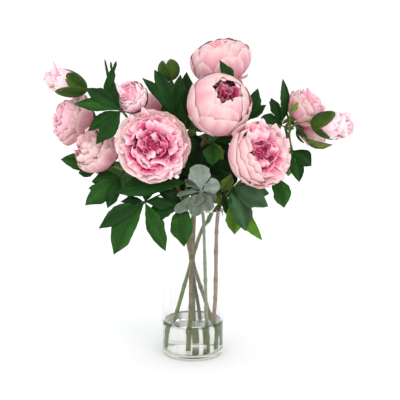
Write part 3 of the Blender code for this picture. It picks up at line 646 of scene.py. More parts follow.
def petals_for(name):
    """Outer and inner petal pieces of one flower head."""
    head = head_of(name)
    outer = Piece(name + "_guard_petals", name + "_outer_petals", "outer_petals", MAT_OUTER)
    inner = Piece(name + "_heart_petals", name + "_inner_petals", "inner_petals", MAT_INNER)

    def guard(*rows, **common):
        for i, row in enumerate(rows):
            args = dict(common)
            args.update(row[3])
            args.setdefault("seed", hash_of(name) + i * 7 + int(row[0]))
            ball_petal(outer, head, row[0], row[1], row[2], **args)

    def heart(table, seed):
        for i, (at, toward, wide, tall, z, shift) in enumerate(table):
            rng = np.random.default_rng(seed + i)
            near = math.hypot(*at) < 26
            scoop(inner, head, at, toward + rng.uniform(-50, 50) * (1 if near else 0.4), wide * (1.0 if near else 1.25), tall * (0.95 if near else 1.2),
                  z + (rng.uniform(-3, 1.5) if near else 0.0), seed=seed + i, shift=shift + (0.10 if near else 0.0), rise=1.1 if near else 0.75,
                  cup=rng.uniform(-0.15, 0.45) if near else rng.uniform(-0.05, 0.30), k=0.08 if near else 0.16,
                  curl=rng.uniform(0.10, 0.50 if near else 0.36), ruffle=rng.uniform(0.09, 0.16) if near else rng.uniform(0.05, 0.09),
                  waves=rng.uniform(1.4, 2.6),
                  inside=SALMON if shift in (0.02, 0.03) else LIGHT_FACE)

    if name == "peony_middle":
        guard(   # outermost, low petals
            (-172, 40, 118, dict(tip=0.02, k=0.16, ruffle=0.010, edge=0.02, rho=1.005)),
            (-128, 34, 92, dict(tip=0.03, k=0.26)),
            (-93, 42, 125, dict(tip=0.010, k=0.14, p=3.0, ruffle=0.008)),
            (-28, 42, 124, dict(tip=0.045, k=0.18, edge=0.03, ruffle=0.028, waves=3.2, fray=0.014)),
            (40, 46, 118, dict(tip=0.035, ruffle=0.024, fray=0.012)),
            (95, 46, 112, dict(tip=0.02)),
            (146, 44, 112, dict(tip=0.02)),
            rho=1.0)
        guard(   # second layer
            (-100, 46, 149, dict(k=0.14, p=3.2, tip=0.008, notch=0.02, lift=0.010)),
            (176, 58, 157, dict(k=0.12, tip=0.005, rho=0.980)),
            (4, 50, 152, dict(k=0.20, tip=0.012)),
            (84, 56, 156, dict(k=0.16, tip=0.01)),
            rho=0.972)
        guard(   # third layer, round the opening
            (-60, 54, 162, dict(k=0.10, p=3.0, notch=0.03)),
            (30, 50, 155, dict(k=0.15)),
            (110, 50, 158, dict(k=0.15)),
            (-150, 52, 160, dict(k=0.15)),
            rho=0.945)
        ruffles(inner, head, 21, [(0.60, 6, 0.60, 1.8, 0.12), (0.45, 5, 0.70, 2.2, 0.14), (0.30, 5, 0.74, 2.4, 0.10),
                                  (0.16, 3, 0.72, 1.8, 0.10)], low=-0.5)
    elif name == "peony_top":
        guard(
            (-125, 25, 117, dict(tip=0.015, k=0.42, p=1.8)),
            (-73, 29, 122, dict(tip=0.02, k=0.26, p=2.4, rho=1.01)),
            (-24, 34, 124, dict(tip=0.05, k=0.18, ruffle=0.028)),
            (22, 36, 122, dict(tip=0.05, k=0.2, ruffle=0.030)),
            (70, 40, 112, dict(tip=0.02)),
            (120, 40, 112, dict(tip=0.02)),
            (172, 38, 118, dict(tip=0.03, ruffle=0.016)),
            (-42, 14, 66, dict(tip=0.20, k=0.55, p=1.6, rho=1.0)),
            rho=1.0, box=0.86)
        guard(
            (-105, 46, 155, dict(k=0.10, p=3.0, tip=0.005, rho=0.980)),
            (-26, 44, 150, dict(k=0.18, tip=0.045, ruffle=0.03, waves=3.0)),
            (38, 46, 148, dict(k=0.18, tip=0.045, ruffle=0.03, waves=3.0)),
            (108, 50, 150, dict(k=0.18, tip=0.03, ruffle=0.02)),
            (172, 48, 148, dict(k=0.18, tip=0.03, ruffle=0.02)),
            rho=0.970, box=0.86)
        guard(
            (-60, 50, 168, dict(k=0.08)),
            (10, 50, 167, dict(k=0.08)),
            (80, 50, 168, dict(k=0.08)),
            (150, 50, 167, dict(k=0.08)),
            (-140, 50, 167, dict(k=0.08)),
            rho=0.942, box=0.86, inside=SALMON, face=OUT_BACK)
        ruffles(inner, head, 22, [(0.34, 7, 0.53, 1.0, -0.30), (0.24, 6, 0.55, 1.1, -0.28), (0.14, 5, 0.56, 1.1, -0.22),
                                  (0.07, 3, 0.53, 1.0, -0.20)], low=-0.2, scale=0.7, inside=SALMON, face=SALMON)
        core(inner, head, 32, 15, 27.0, SALMON[1], 63)
        for i in range(9):
            way = math.radians(40 * i + 7)
            scoop(inner, head, (11.5 * math.cos(way), 11.5 * math.sin(way)), 40 * i + 7, 13, 11, 27.6 + 0.5 * (i % 3), rise=0.5, cup=0.10, curl=0.15,
                  ruffle=0.05, seed=2260 + i, inside=SALMON, shift=-0.20)
        for i, (at, toward, wide, tall, z) in enumerate([((-8, -4), 205, 20, 15, 28.4), ((7, 1), 15, 18, 14, 28.6), ((-1, 8), 95, 18, 13, 28.8)]):
            scoop(inner, head, at, toward, wide, tall, z, rise=0.35, cup=0.10, curl=0.20, ruffle=0.06, waves=2.0, seed=2200 + i, inside=SALMON, shift=-0.25)
    elif name == "peony_front":
        guard(   # laid back, pale, wide
            (-124, 40, 101, dict(rho=0.83, tip=0.27, k=0.18, ruffle=0.02)),
            (-70, 38, 101, dict(rho=0.84, tip=0.25, k=0.18, ruffle=0.03)),
            (-14, 38, 102, dict(rho=0.86, tip=0.21, k=0.16, ruffle=0.03)),
            (44, 40, 103, dict(rho=0.88, tip=0.17, k=0.18, ruffle=0.03)),
            (100, 38, 103, dict(rho=0.86, tip=0.20, k=0.22, ruffle=0.025)),
            (156, 34, 102, dict(rho=0.85, tip=0.30, k=0.34, p=1.8, ruffle=0.03)),
            (-168, 34, 100, dict(rho=0.83, tip=0.26, k=0.20, ruffle=0.025)),
            nv=26, nu=30, waves=2.0, flare=0.58, inside=GUARD_FACE_PAINTED_LIGHT)
        guard(
            (-96, 40, 108, dict(rho=0.75, tip=0.16)),
            (-40, 36, 109, dict(rho=0.80, tip=0.18)),
            (16, 36, 109, dict(rho=0.82, tip=0.17)),
            (70, 38, 110, dict(rho=0.80, tip=0.17)),
            (128, 38, 109, dict(rho=0.77, tip=0.18)),
            (-152, 38, 108, dict(rho=0.74, tip=0.16)),
            k=0.16, ruffle=0.035, nv=26, nu=30, waves=2.4, flare=0.58, inside=GUARD_FACE_PAINTED_LIGHT)
        guard(
            (56, 46, 120, dict(k=0.14, ruffle=0.02, rho=0.80, tip=0.12)),
            (-6, 38, 115, dict(k=0.2, rho=0.76, tip=0.16)),
            (-62, 38, 114, dict(k=0.2, rho=0.74, tip=0.16)),
            (114, 34, 116, dict(k=0.2, rho=0.74, tip=0.14)),
            ruffle=0.03, flare=0.60, nv=22, nu=26, waves=2.2, inside=GUARD_FACE_PAINTED_LIGHT)
        ruffles(inner, head, 23, [(0.70, 8, 0.08, 2.4, 0.05), (0.54, 7, 0.06, 3.2, 0.16), (0.38, 6, 0.02, 3.4, 0.30), (0.24, 5, -0.04, 3.0, 0.36), (0.11, 4, -0.04, 2.2, 0.4)])
        core(inner, head, 30, -24, -6, lin(206, 60, 120), 61)
        heart(FRONT_HEART, 2300)
    elif name == "peony_right":
        guard(
            (-178, 44, 112, dict(rho=1.0, tip=0.00, k=0.16, p=3.0)),
            (-128, 42, 104, dict(rho=0.98, tip=0.05, k=0.16)),
            (-74, 40, 103, dict(rho=0.90, tip=0.16, k=0.18, ruffle=0.02)),
            (-18, 40, 102, dict(rho=0.86, tip=0.22, k=0.20, ruffle=0.03)),
            (38, 40, 102, dict(rho=0.86, tip=0.22, k=0.20, ruffle=0.03)),
            (106, 36, 108, dict(rho=0.96, tip=0.14, k=0.32, p=2.2, ruffle=0.02, tilt=0.03)),
            flare=0.60, nv=26, inside=GUARD_FACE_PAINTED_LIGHT)
        guard(
            (-156, 42, 124, dict(rho=0.94, k=0.16)),
            (-100, 40, 112, dict(rho=0.88, tip=0.08, k=0.16)),
            (-44, 38, 110, dict(rho=0.80, tip=0.18, k=0.16, ruffle=0.025)),
            (14, 38, 110, dict(rho=0.78, tip=0.20, k=0.16, ruffle=0.03)),
            (72, 38, 112, dict(rho=0.82, tip=0.16, k=0.16, ruffle=0.03)),
            (146, 38, 112, dict(rho=0.92, k=0.18)),
            flare=0.60, nv=26, inside=GUARD_FACE_PAINTED_LIGHT)
        guard(
            (-176, 40, 136, dict(rho=0.87, k=0.18)),
            (-126, 42, 134, dict(rho=0.87, k=0.18)),
            (-66, 36, 119, dict(rho=0.76, tip=0.14, k=0.2, ruffle=0.02)),
            (50, 36, 117, dict(rho=0.76, tip=0.16, k=0.2, ruffle=0.03)),
            flare=0.62, nv=24, inside=GUARD_FACE_PAINTED_LIGHT)
        guard(
            (-142, 44, 150, dict(rho=0.79, k=0.16, p=3.0)),
            (168, 34, 142, dict(rho=0.78, k=0.22)),
            (-90, 34, 128, dict(rho=0.76, tip=0.05, k=0.2)),
            nv=24)
        ruffles(inner, head, 24, [(0.66, 7, 0.06, 2.2, 0.10), (0.50, 7, 0.06, 3.2, 0.16), (0.36, 6, 0.02, 3.4, 0.30), (0.22, 5, -0.02, 3.0, 0.36), (0.10, 4, -0.04, 2.2, 0.4)])
        core(inner, head, 27, -24, -6, lin(206, 60, 120), 62)
        heart(RIGHT_HEART, 2400)
    else:
        big = HEADS[name][2] > 30
        n = 6 if big else 5
        rng = np.random.default_rng(hash_of(name))
        turn = rng.uniform(0, 60)
        loose = name in ("peony_far_right", "peony_low_right", "peony_far_left")
        for layer, (rho, a1, ruf) in enumerate([(0.93, 101, 0.05), (0.87, 109, 0.055), (0.81, 117, 0.06)] if loose
                                               else [(1.0, 106, 0.03), (0.93, 114, 0.035), (0.86, 122, 0.04)]):
            for j in range(n):
                guard((turn + 360 * (j + 0.5 * layer) / n + rng.uniform(-8, 8), 210 / n + rng.uniform(0, 6), a1 + rng.uniform(-7, 6),
                       dict(rho=rho, ruffle=ruf, tip=0.16 if loose else 0.03, flare=0.6, k=rng.uniform(0.14, 0.26),
                            fray=0.018 if loose else 0.008, seed=hash_of(name) + layer * 31 + j)),
                      nu=20, nv=17, inside=GUARD_FACE_PAINTED_LIGHT)
        up = {"peony_far_left": 0.16, "peony_low_left": 0.26, "peony_far_right": 0.18, "peony_low_right": 0.16}.get(name, 0.0)
        core(inner, head, 0.74 * head[2], -0.2 * head[2], (0.46 + up) * head[2], mix(OUT_FACE[0], OUT_FACE[1], np.array(0.55)) * 0.92, hash_of(name) + 3)
        ruffles(inner, head, hash_of(name), [(0.76, 7, 0.42 + up, 2.2, -0.30), (0.60, 6, 0.52 + up, 2.4, -0.28), (0.43, 5, 0.58 + up, 2.4, -0.26),
                                             (0.26, 4, 0.58 + up, 2.2, -0.22), (0.12, 3, 0.55 + up, 1.8, -0.2)], scale=HEADS[name][2] / 42,
                face=IN_BACK if name != "peony_low_left" else OUT_FACE, inside=LIGHT_FACE)
    return outer, inner


def hash_of(name):
    return sum((i + 3) * ord(c) for i, c in enumerate(name)) % 9973


for head_name in HEADS:
    for piece in petals_for(head_name):
        piece.build()

# ============================================================ blades for leaves
ACROSS = np.array([-1, -0.86, -0.68, -0.48, -0.28, -0.12, 0, 0.12, 0.28, 0.48, 0.68, 0.86, 1.0])


def leaf_outline(t, shape):
    """Half width along a leaflet, 0 to 1."""
    if shape == "spoon":
        return np.clip(0.10 + 0.90 * smooth(0.05, 0.62, t), 0, 1) * np.clip(1 - ((t - 0.66) / 0.345).clip(0) ** 2.2, 0, 1) ** 0.5
    if shape == "petal":
        return (0.55 + 0.45 * np.sin(PI * np.clip(t * 1.1, 0, 1))) * np.clip(1 - t ** 3, 0, 1) ** 0.7
    if shape == "tongue":
        return np.clip(1 - t ** 1.5, 0, 1) ** 0.85 * (0.75 + 0.35 * np.sin(PI * np.clip(t * 1.3, 0, 1)))
    if shape == "strap":
        return (0.75 + 0.25 * smooth(0, 0.3, t)) * np.clip(1 - t ** 5, 0, 1) ** 0.6
    return np.clip(np.sin(PI * np.clip(t, 0, 1) ** 1.13), 0, 1) ** 0.98


def leaflet(pc, base, tip, width, facing, cols, seed, arch=0.10, thick=0.55, nt=34, shape="blade", fold=0.16, droop=0.0,
            bend=None, rim=None, wave=0.05, lobe=0, stalk=0.9, relief=1.0):
    base, tip = np.array(base, float), np.array(tip, float)
    rng = np.random.default_rng(seed)
    along = unit(tip - base)
    base = base + along * 0.9
    length = float(np.linalg.norm(tip - base))
    side = unit(np.cross(along, facing))
    up = np.cross(side, along)
    s, t = np.meshgrid(ACROSS, np.linspace(0, 1, nt), indexing="ij")
    body = leaf_outline(t, shape)
    ragged = {"petal": 0.0, "tongue": 0.6}.get(shape, 1.0)
    left = 1.06 + ragged * (0.095 * ripple(rng, t, 0 * t, 4.2, 0) + 0.035 * ripple(rng, t, 0 * t, 11, 0))
    right = 1.06 + ragged * (0.095 * ripple(rng, t, 0 * t, 4.2, 0) + 0.035 * ripple(rng, t, 0 * t, 11, 0))
    half = np.maximum((width / 2) * body * np.where(s < 0, left, right), stalk * (1 - smooth(0.0, 0.25, t)) + 0.12)
    half = np.maximum(half, 0.12 + 0 * t)
    curve = (rng.uniform(-0.045, 0.045) if bend is None else bend) * length * np.sin(PI * t)
    twist = rng.uniform(-0.35, 0.35) * (t - 0.2)
    y = s * half
    rise = (arch * length * 4 * t * (1 - t) - droop * length * t ** 3 * (1 - t) * 4
            + (fold - 0.36 * t) * np.abs(y) * 0.9 + twist * y
            + wave * width * ripple(rng, t, s, 3.6, 0.6) * np.abs(s) ** 1.6 * np.sin(PI * t)
            - relief * 0.42 * np.exp(-(y / 0.9) ** 2) * smooth(0.02, 0.1, t)
            + relief * 0.13 * np.cos(2 * PI * (t * length - 1.1 * np.abs(y)) / 6.5) * np.sin(PI * np.abs(s)) * np.sin(PI * t))
    pos = base + along * (t * length)[..., None] + side * (y + curve)[..., None] + up * rise[..., None]
    top, low = cols
    vary = 0.5 + 0.5 * ripple(rng, s, t, 1.2, 1.2)
    face = mix(top * 0.70, top * 1.36, np.clip(vary, 0, 1))
    back = mix(low * 0.9, low * 1.12, np.clip(vary, 0, 1))
    if rim is not None:
        near = (1 - smooth(0.0, 0.22, np.minimum(1 - np.abs(s), (1 - t) * 2.5))) * 0.75
        face, back = mix(face, rim, near), mix(back, rim, near)
    tex = np.stack([y, t * length, np.full_like(t, rng.uniform(0, 90))], -1)
    # the sheet's own normal looks away from the facing side, so upper and lower trade places
    n = np.cross(pos[6, 2] - pos[6, 1], pos[7, 2] - pos[6, 2])
    if float(np.dot(np.cross(pos[7, 5] - pos[5, 5], pos[6, 6] - pos[6, 4]), up)) > 0:
        pc.sheet(pos, thick, face, back, tex)
    else:
        pc.sheet(pos, thick, back, face, tex)
    if lobe:
        i = int(nt * 0.34)
        start = base + along * length * 0.32 + up * float(rise[6, i])
        out = unit(along * 0.86 + side * 0.52 * lobe)
        leaflet(pc, start, start + out * length * 0.46 - up * length * 0.03, width * 0.52, facing, cols, seed + 17, arch=0.05,
                thick=thick, nt=22, fold=0.06, wave=0.04, rim=rim)


# ========================================================================= buds
# name: centre, direction, radius, half length, how far the sepals reach
BUDS = {
    "bud_left": ((-197, -30, 441), (-0.93, -0.18, 0.30), 19, 31, 92),
    "bud_centre": ((-92, -62, 418), (-0.40, -0.80, 0.42), 23, 23, 66),
    "bud_green": ((-38, -4, 463), (-0.18, 0.05, 0.98), 16, 16, 122),
    "bud_right": ((214, -50, 375), (0.85, -0.50, -0.15), 20, 31, 84),
}
BUD_BACK = (lin(238, 116, 162), lin(252, 178, 198), lin(255, 228, 230))
BUD_FACE = (lin(228, 78, 138), lin(250, 158, 188), lin(255, 218, 224))
TONGUES = {   # long petal tips: root, tip, width
    "bud_left": [((-207, -40, 441), (-214, -42, 475), 13), ((-212, -40, 442), (-224, -40, 457), 10)],
    "bud_centre": [((-102, -85, 421), (-114, -91, 440), 9)],
    "bud_right": [((220, -58, 384), (247, -68, 398), 3.0), ((222, -58, 387), (238, -64, 400), 4.5), ((224, -58, 383), (242, -66, 392), 4.0)],
}
SEPAL_TOP = tone(66, 94, 30)
SEPAL_LOW = tone(50, 76, 24)
SEPAL_RIM = tone(98, 126, 52)


def sepal(pc, head, phi, wide, a1, rho, seed, a0=4.0, k=0.55, p=1.7, thick=0.9, nu=17, nv=22, tip=0.0, base=0.8, lift=0.0,
          top=SEPAL_TOP, low=SEPAL_LOW, rim=SEPAL_RIM):
    (centre, frame_, radius, depth) = head
    rng = np.random.default_rng(seed)
    u, v = grid(nu, nv)
    ang = np.radians(a0 + (a1 - a0) * v * (1 - k * np.abs(u) ** p))
    w = base + (1 - base) * np.sin(np.clip(v / 0.5, 0, 1) * PI / 2)
    az = math.radians(phi) + u * math.radians(wide) * w
    r = rho + tip * smooth(0.5, 1.0, v) + lift * np.abs(u) ** 2 * v + 0.010 * ripple(rng, u, v, 2.0, 1.5) * v
    local = np.stack([radius * r * np.sin(ang) * np.cos(az), radius * r * np.sin(ang) * np.sin(az), -depth * r * np.cos(ang)], -1)
    pos = np.asarray(centre, float) + local @ frame_.T
    near = np.minimum((1 - v) * 1.0, 1 - np.abs(u))
    face = mix(mix(top, low, smooth(0.2, 0.8, 0.5 + 0.4 * ripple(rng, u, v, 1.5, 1.5))), rim, (1 - smooth(0, 0.14, near)) * 0.6)
    tex = np.stack([u * w * radius * math.radians(wide), v * radius * math.radians(a1), np.full_like(u, rng.uniform(0, 90))], -1)
    pc.sheet(pos, thick, face, mix(face, rim, np.full_like(u, 0.35)), tex)


for bud_name, (centre, axis, radius, length, reach) in BUDS.items():
    head = (centre, frame_of(axis), radius, length)
    seed = hash_of(bud_name)
    rng = np.random.default_rng(seed)
    pet = Piece(bud_name + "_rolled_petals", bud_name + "_petals", "bud_petals", MAT_BUD)
    sep = Piece(bud_name + "_green_sepals", bud_name + "_sepals", "sepals", MAT_SEPAL)
    tall = length > 27
    ratio = length / radius
    shut = bud_name == "bud_green"
    layers = ([(1.0, 140, 5), (0.95, 152, 4), (0.89, 162, 4), (0.82, 168, 4), (0.72, 172, 3)] if shut
              else [(1.0, 116, 6), (0.93, 124, 5), (0.86, 130, 5), (0.78, 134, 5)])
    for layer, (rho, a1, n) in enumerate(layers):
        turn = rng.uniform(0, 360)
        for j in range(n):
            ball_petal(pet, head, turn + 360 * j / n + rng.uniform(-10, 10), 250 / n, a1 + rng.uniform(-8, 5), rho=rho,
                       tip=0.0 if shut else 0.10, flare=0.6, k=rng.uniform(0.15, 0.3), ruffle=0.035, waves=2.6, fray=0.02, notch=0.08,
                       seed=seed + layer * 13 + j, face=BUD_BACK, inside=BUD_FACE, thick=0.5, nu=16, nv=14, shift=-0.05)
    if not shut:
        core(pet, head, 0.82 * radius, 0.0, (0.92 * length if tall else 0.80 * radius), BUD_BACK[1] * 0.92, seed + 5)
    if shut:
        rings = [(0.52, 5, 0.80 * ratio, 1.2, -0.35), (0.34, 4, 0.92 * ratio, 1.2, -0.35), (0.16, 3, 0.99 * ratio, 1.0, -0.35)]
    elif tall:
        rings = [(0.80, 5, 0.80 * ratio, 2.2, -0.30), (0.58, 4, 0.98 * ratio, 2.6, -0.34), (0.36, 4, 1.08 * ratio, 2.6, -0.34), (0.16, 3, 1.12 * ratio, 2.0, -0.30)]
    else:
        rings = [(0.80, 5, 0.70, 2.6, -0.26), (0.58, 5, 0.88, 3.0, -0.28), (0.36, 4, 0.98, 3.0, -0.14), (0.16, 3, 0.98, 2.4, 0.05)]
    ruffles(pet, head, seed, rings, low=0.3, scale=0.62, face=BUD_BACK, inside=BUD_FACE)
    for k_, (root_, tip_, wide_) in enumerate(TONGUES.get(bud_name, [])):
        leaflet(pet, root_, tip_, wide_, (0, -1, 0.2), (lin(250, 192, 208), lin(251, 202, 214)), seed + 300 + k_, arch=0.12, thick=0.45, nt=22, relief=0.0,
                fold=0.25, wave=0.10, shape="tongue", rim=BUD_BACK[2])
    turn, wide, n = {"bud_left": (58, 64, 4), "bud_centre": (20, 60, 4), "bud_green": (-40, 80, 3), "bud_right": (-118, 74, 3)}[bud_name]
    for j in range(n):
        sepal(sep, head, turn + 360 * j / n, wide, reach * (1.16 if j % 2 == 0 else 1.0) + (14 if bud_name == "bud_green" else 4),
              1.075 + 0.014 * (j % 3), seed + 90 + j, p=2.2, k=0.5, lift=-0.02 if bud_name == "bud_green" else 0.0)
    pet.build()
    sep.build()

# ======================================================================== stems
STEMS = {
    "stem_top": (3.4, 2.6, [(3, 37, 9), (0, 38, 120), (4, 34, 238), (16, 31, 320), (36, 36, 392)], "peony_top"),
    "stem_middle": (3.5, 2.6, [(-6, -15, 9), (-4, -15, 65), (0, -16, 218), (7, -16, 312), (12, -15, 342)], "peony_middle"),
    "stem_front": (3.3, 2.6, [(35, 12, 9), (28, 14, 60), (7, 13, 126), (-8, 8, 183), (-11, 4, 236), (-26, -3, 280), (-44, -12, 312)], "peony_front"),
    "stem_right": (3.4, 2.6, [(31, -9, 9), (34, -9, 55), (37, -10, 106), (40, -10, 228), (58, -11, 276), (74, -12, 306)], "peony_right"),
    "stem_far_right": (3.3, 2.4, [(-36, -2, 9), (-29, 0, 57), (10, 2, 192), (27, 3, 222), (46, 4, 250), (88, 2, 294), (130, 2, 326), (152, 3, 350)], "peony_far_right"),
    "stem_far_left": (3.2, 2.4, [(14, 27, 9), (11, 28, 60), (0, 26, 125), (-17, 22, 236), (-48, 17, 286), (-95, 10, 328), (-130, 10, 355)], "peony_far_left"),
}
BRANCHES = [
    ("stem_top", 2.0, [(14, 32, 310), (-12, 18, 362), (-31, 2, 402), (-35, -3, 428)], "bud_green"),
    ("stem_top", 2.2, [(9, 33, 286), (-22, 36, 326), (-46, 30, 354)], "peony_back"),
    ("stem_front", 2.0, [(-22, -1, 270), (-48, 2, 330), (-66, -6, 378)], "bud_centre"),
    ("stem_far_right", 2.0, [(146, 2, 342), (158, 14, 364)], "peony_low_right"),
    ("stem_far_right", 2.0, [(152, 3, 350), (158, -12, 372)], "bud_right"),
    ("stem_far_left", 2.2, [(-60, 15, 297), (-92, 4, 303), (-114, -6, 306)], "peony_low_left"),
    ("stem_far_left", 2.0, [(-66, 14, 303), (-84, -10, 352), (-104, -40, 391), (-134, -36, 416)], "bud_left"),
]
# colours of each stem in the water, in the vase and up among the leaves
STEM_TONES = {
    "stem_top": ((158, 176, 66), (150, 156, 96), (90, 86, 48)),
    "stem_middle": ((136, 150, 30), (136, 112, 58), (98, 80, 46)),
    "stem_front": ((132, 158, 20), (140, 126, 66), (88, 84, 40)),
    "stem_right": ((130, 148, 26), (184, 152, 104), (104, 90, 50)),
    "stem_far_right": ((124, 160, 30), (112, 146, 40), (100, 124, 40)),
    "stem_far_left": ((140, 150, 50), (76, 80, 40), (94, 116, 42)),
}


def head_base(name):
    """Where a stem ends under a head or a bud, and the way it faces."""
    if name in HEADS:
        centre, axis, _, depth = HEADS[name]
        axis = unit(CAD_AXIS.get(name, axis))
        depth = {"peony_middle": 45}.get(name, depth)
        out = 0.3
    else:
        centre, axis, _, depth, _ = BUDS[name]
        axis = unit(axis)
        out = 2.9
    return np.array(centre, float) - axis * (depth + out), axis


def stem_radius(path, r0, r1, seed, knots=True):
    n = len(path)
    s = np.concatenate([[0], np.cumsum(np.linalg.norm(np.diff(path, axis=0), axis=1))])
    r = np.linspace(r0, r1, n)
    rng = np.random.default_rng(seed)
    r = r * (1 + 0.05 * np.sin(s / rng.uniform(9, 14) + rng.uniform(0, 6)) + 0.03 * np.sin(s / 3.7 + rng.uniform(0, 6)))
    spots = []
    if knots:
        at = rng.uniform(18, 40)
        while at < s[-1] - 15:
            r = r * (1 + rng.uniform(0.14, 0.30) * np.exp(-((s - at) / rng.uniform(2.2, 3.6)) ** 2))
            spots.append(at)
            at += rng.uniform(26, 52)
    return s, r, spots


def tones_along(path, name):
    low, mid, high = [tone(*c) for c in STEM_TONES[name]]
    z = path[:, 2]
    c = mix(low, mid, smooth(50, 66, z))
    return mix(c, high, smooth(225, 262, z))


def stub(pc, point, out, length, radius, col, seed):
    """A short cut twig or leaf scar on a stem."""
    out = unit(out)
    path = np.array([point, point + out * length * 0.5, point + out * length])
    pc.rod(path, [radius * 1.3, radius, radius * 0.75], col, 8, seed, 0.06)


def green_collar(pc, base, axis, size, seed, spread=1.0, bloom=None):
    """The green cone and the five small sepals under an opened flower."""
    if bloom:
        centre, frame_, radius, depth = head_of(bloom)
        rng = np.random.default_rng(seed)
        for j in range(5):
            sepal(pc, (centre, frame_, radius, depth), 72 * j + rng.uniform(-12, 12), rng.uniform(17, 24), rng.uniform(38, 50) * spread, 1.06,
                  seed + j, a0=2.0, tip=0.05 * spread, thick=1.0, nu=13, nv=16, base=0.9, k=0.6)
    path = np.array([base - axis * 9.0 * size, base - axis * 5.0 * size, base - axis * 2.0 * size, base - axis * 0.4])
    pc.rod(path, [2.5, 3.8 * size, 6.6 * size, 8.2 * size], tone(96, 124, 52), 20, seed, 0.03)


for stem_name, (r0, r1, pts, head) in STEMS.items():
    brown = stem_name in ("stem_middle", "stem_right", "stem_top")
    pc = Piece(stem_name + "_rind", stem_name, "brown_stems" if brown else "green_stems", MAT_BROWN if brown else MAT_GREEN)
    end, axis = head_base(head)
    path = curve_through([*pts, end - axis * 14, end - axis * 0.3], 2.6)
    seed = hash_of(stem_name)
    s, r, spots = stem_radius(path, r0, r1, seed)
    cols = tones_along(path, stem_name)
    shade = np.random.default_rng(seed + 5)
    for at in spots:
        cols = cols * (1 - 0.28 * np.exp(-((s - at) / 2.6) ** 2))[:, None]
    pc.rod(path, r, cols, 18, seed, 0.045)
    for at in spots:
        i = int(np.searchsorted(s, at))
        way = unit(np.cross(path[min(i + 1, len(path) - 1)] - path[i - 1], shade.normal(size=3)))
        up = unit(path[min(i + 1, len(path) - 1)] - path[i - 1])
        if path[i][2] > 70:
            stub(pc, path[i] + way * r[i] * 0.6, way + up * 0.9, shade.uniform(2.0, 3.4), 1.1, cols[i] * 0.85, seed + i)
    green_collar(pc, end, axis, 1.0, seed, bloom=head)
    for b, (owner, rb, bpts, bhead) in enumerate(BRANCHES):
        if owner != stem_name:
            continue
        bend, baxis = head_base(bhead)
        bpath = curve_through([*bpts, bend - baxis * 12, bend - baxis * 0.3], 2.4)
        bs, br, bspots = stem_radius(bpath, rb, rb * 0.9, seed + 40 + b, False)
        if bhead in BUDS:
            br = br * (1 + 0.9 * smooth(bs[-1] - 9, bs[-1], bs))
        bc = mix(tone(104, 118, 58), tone(120, 146, 66), np.linspace(0, 1, len(bpath)))
        pc.rod(bpath, br, bc, 14, seed + b, 0.04)
        if bhead in HEADS:
            green_collar(pc, bend, baxis, 0.85, seed + b, 1.5 if bhead == "peony_low_right" else 1.1, bhead)
        if bhead == "peony_low_right":
            leaflet(pc, (176, 8, 360), (228, 6, 344), 12, (0, -1, 0), (tone(88, 112, 40), tone(96, 120, 50)), seed + 71, bend=0.16, arch=0.05, relief=0.3)
    pc.build()

SPRIG_ROUTE = [(23, -30, 9), (22, -29, 48), (20, -28, 126), (17, -31, 218), (15, -37, 240), (13, -52, 260), (13, -60, 268)]
pc = Piece("sprig_stem_rind", "sprig_stem", "sprig", MAT_SPRIG)
path = curve_through(SPRIG_ROUTE, 2.6)
s, r, spots = stem_radius(path, 2.8, 2.2, 77)
cols = mix(tone(120, 156, 30), tone(158, 172, 128), smooth(50, 66, path[:, 2]))
pc.rod(path, r, cols, 16, 77, 0.04)
rng = np.random.default_rng(5)
for at in spots:
    i = int(np.searchsorted(s, at))
    way = unit(np.cross(path[i + 1] - path[i - 1], rng.normal(size=3)))
    if path[i][2] > 70:
        stub(pc, path[i] + way * 1.6, way + np.array([0, 0, 0.9]), 2.6, 0.9, cols[i] * 0.9, 300 + i)
pc.build()

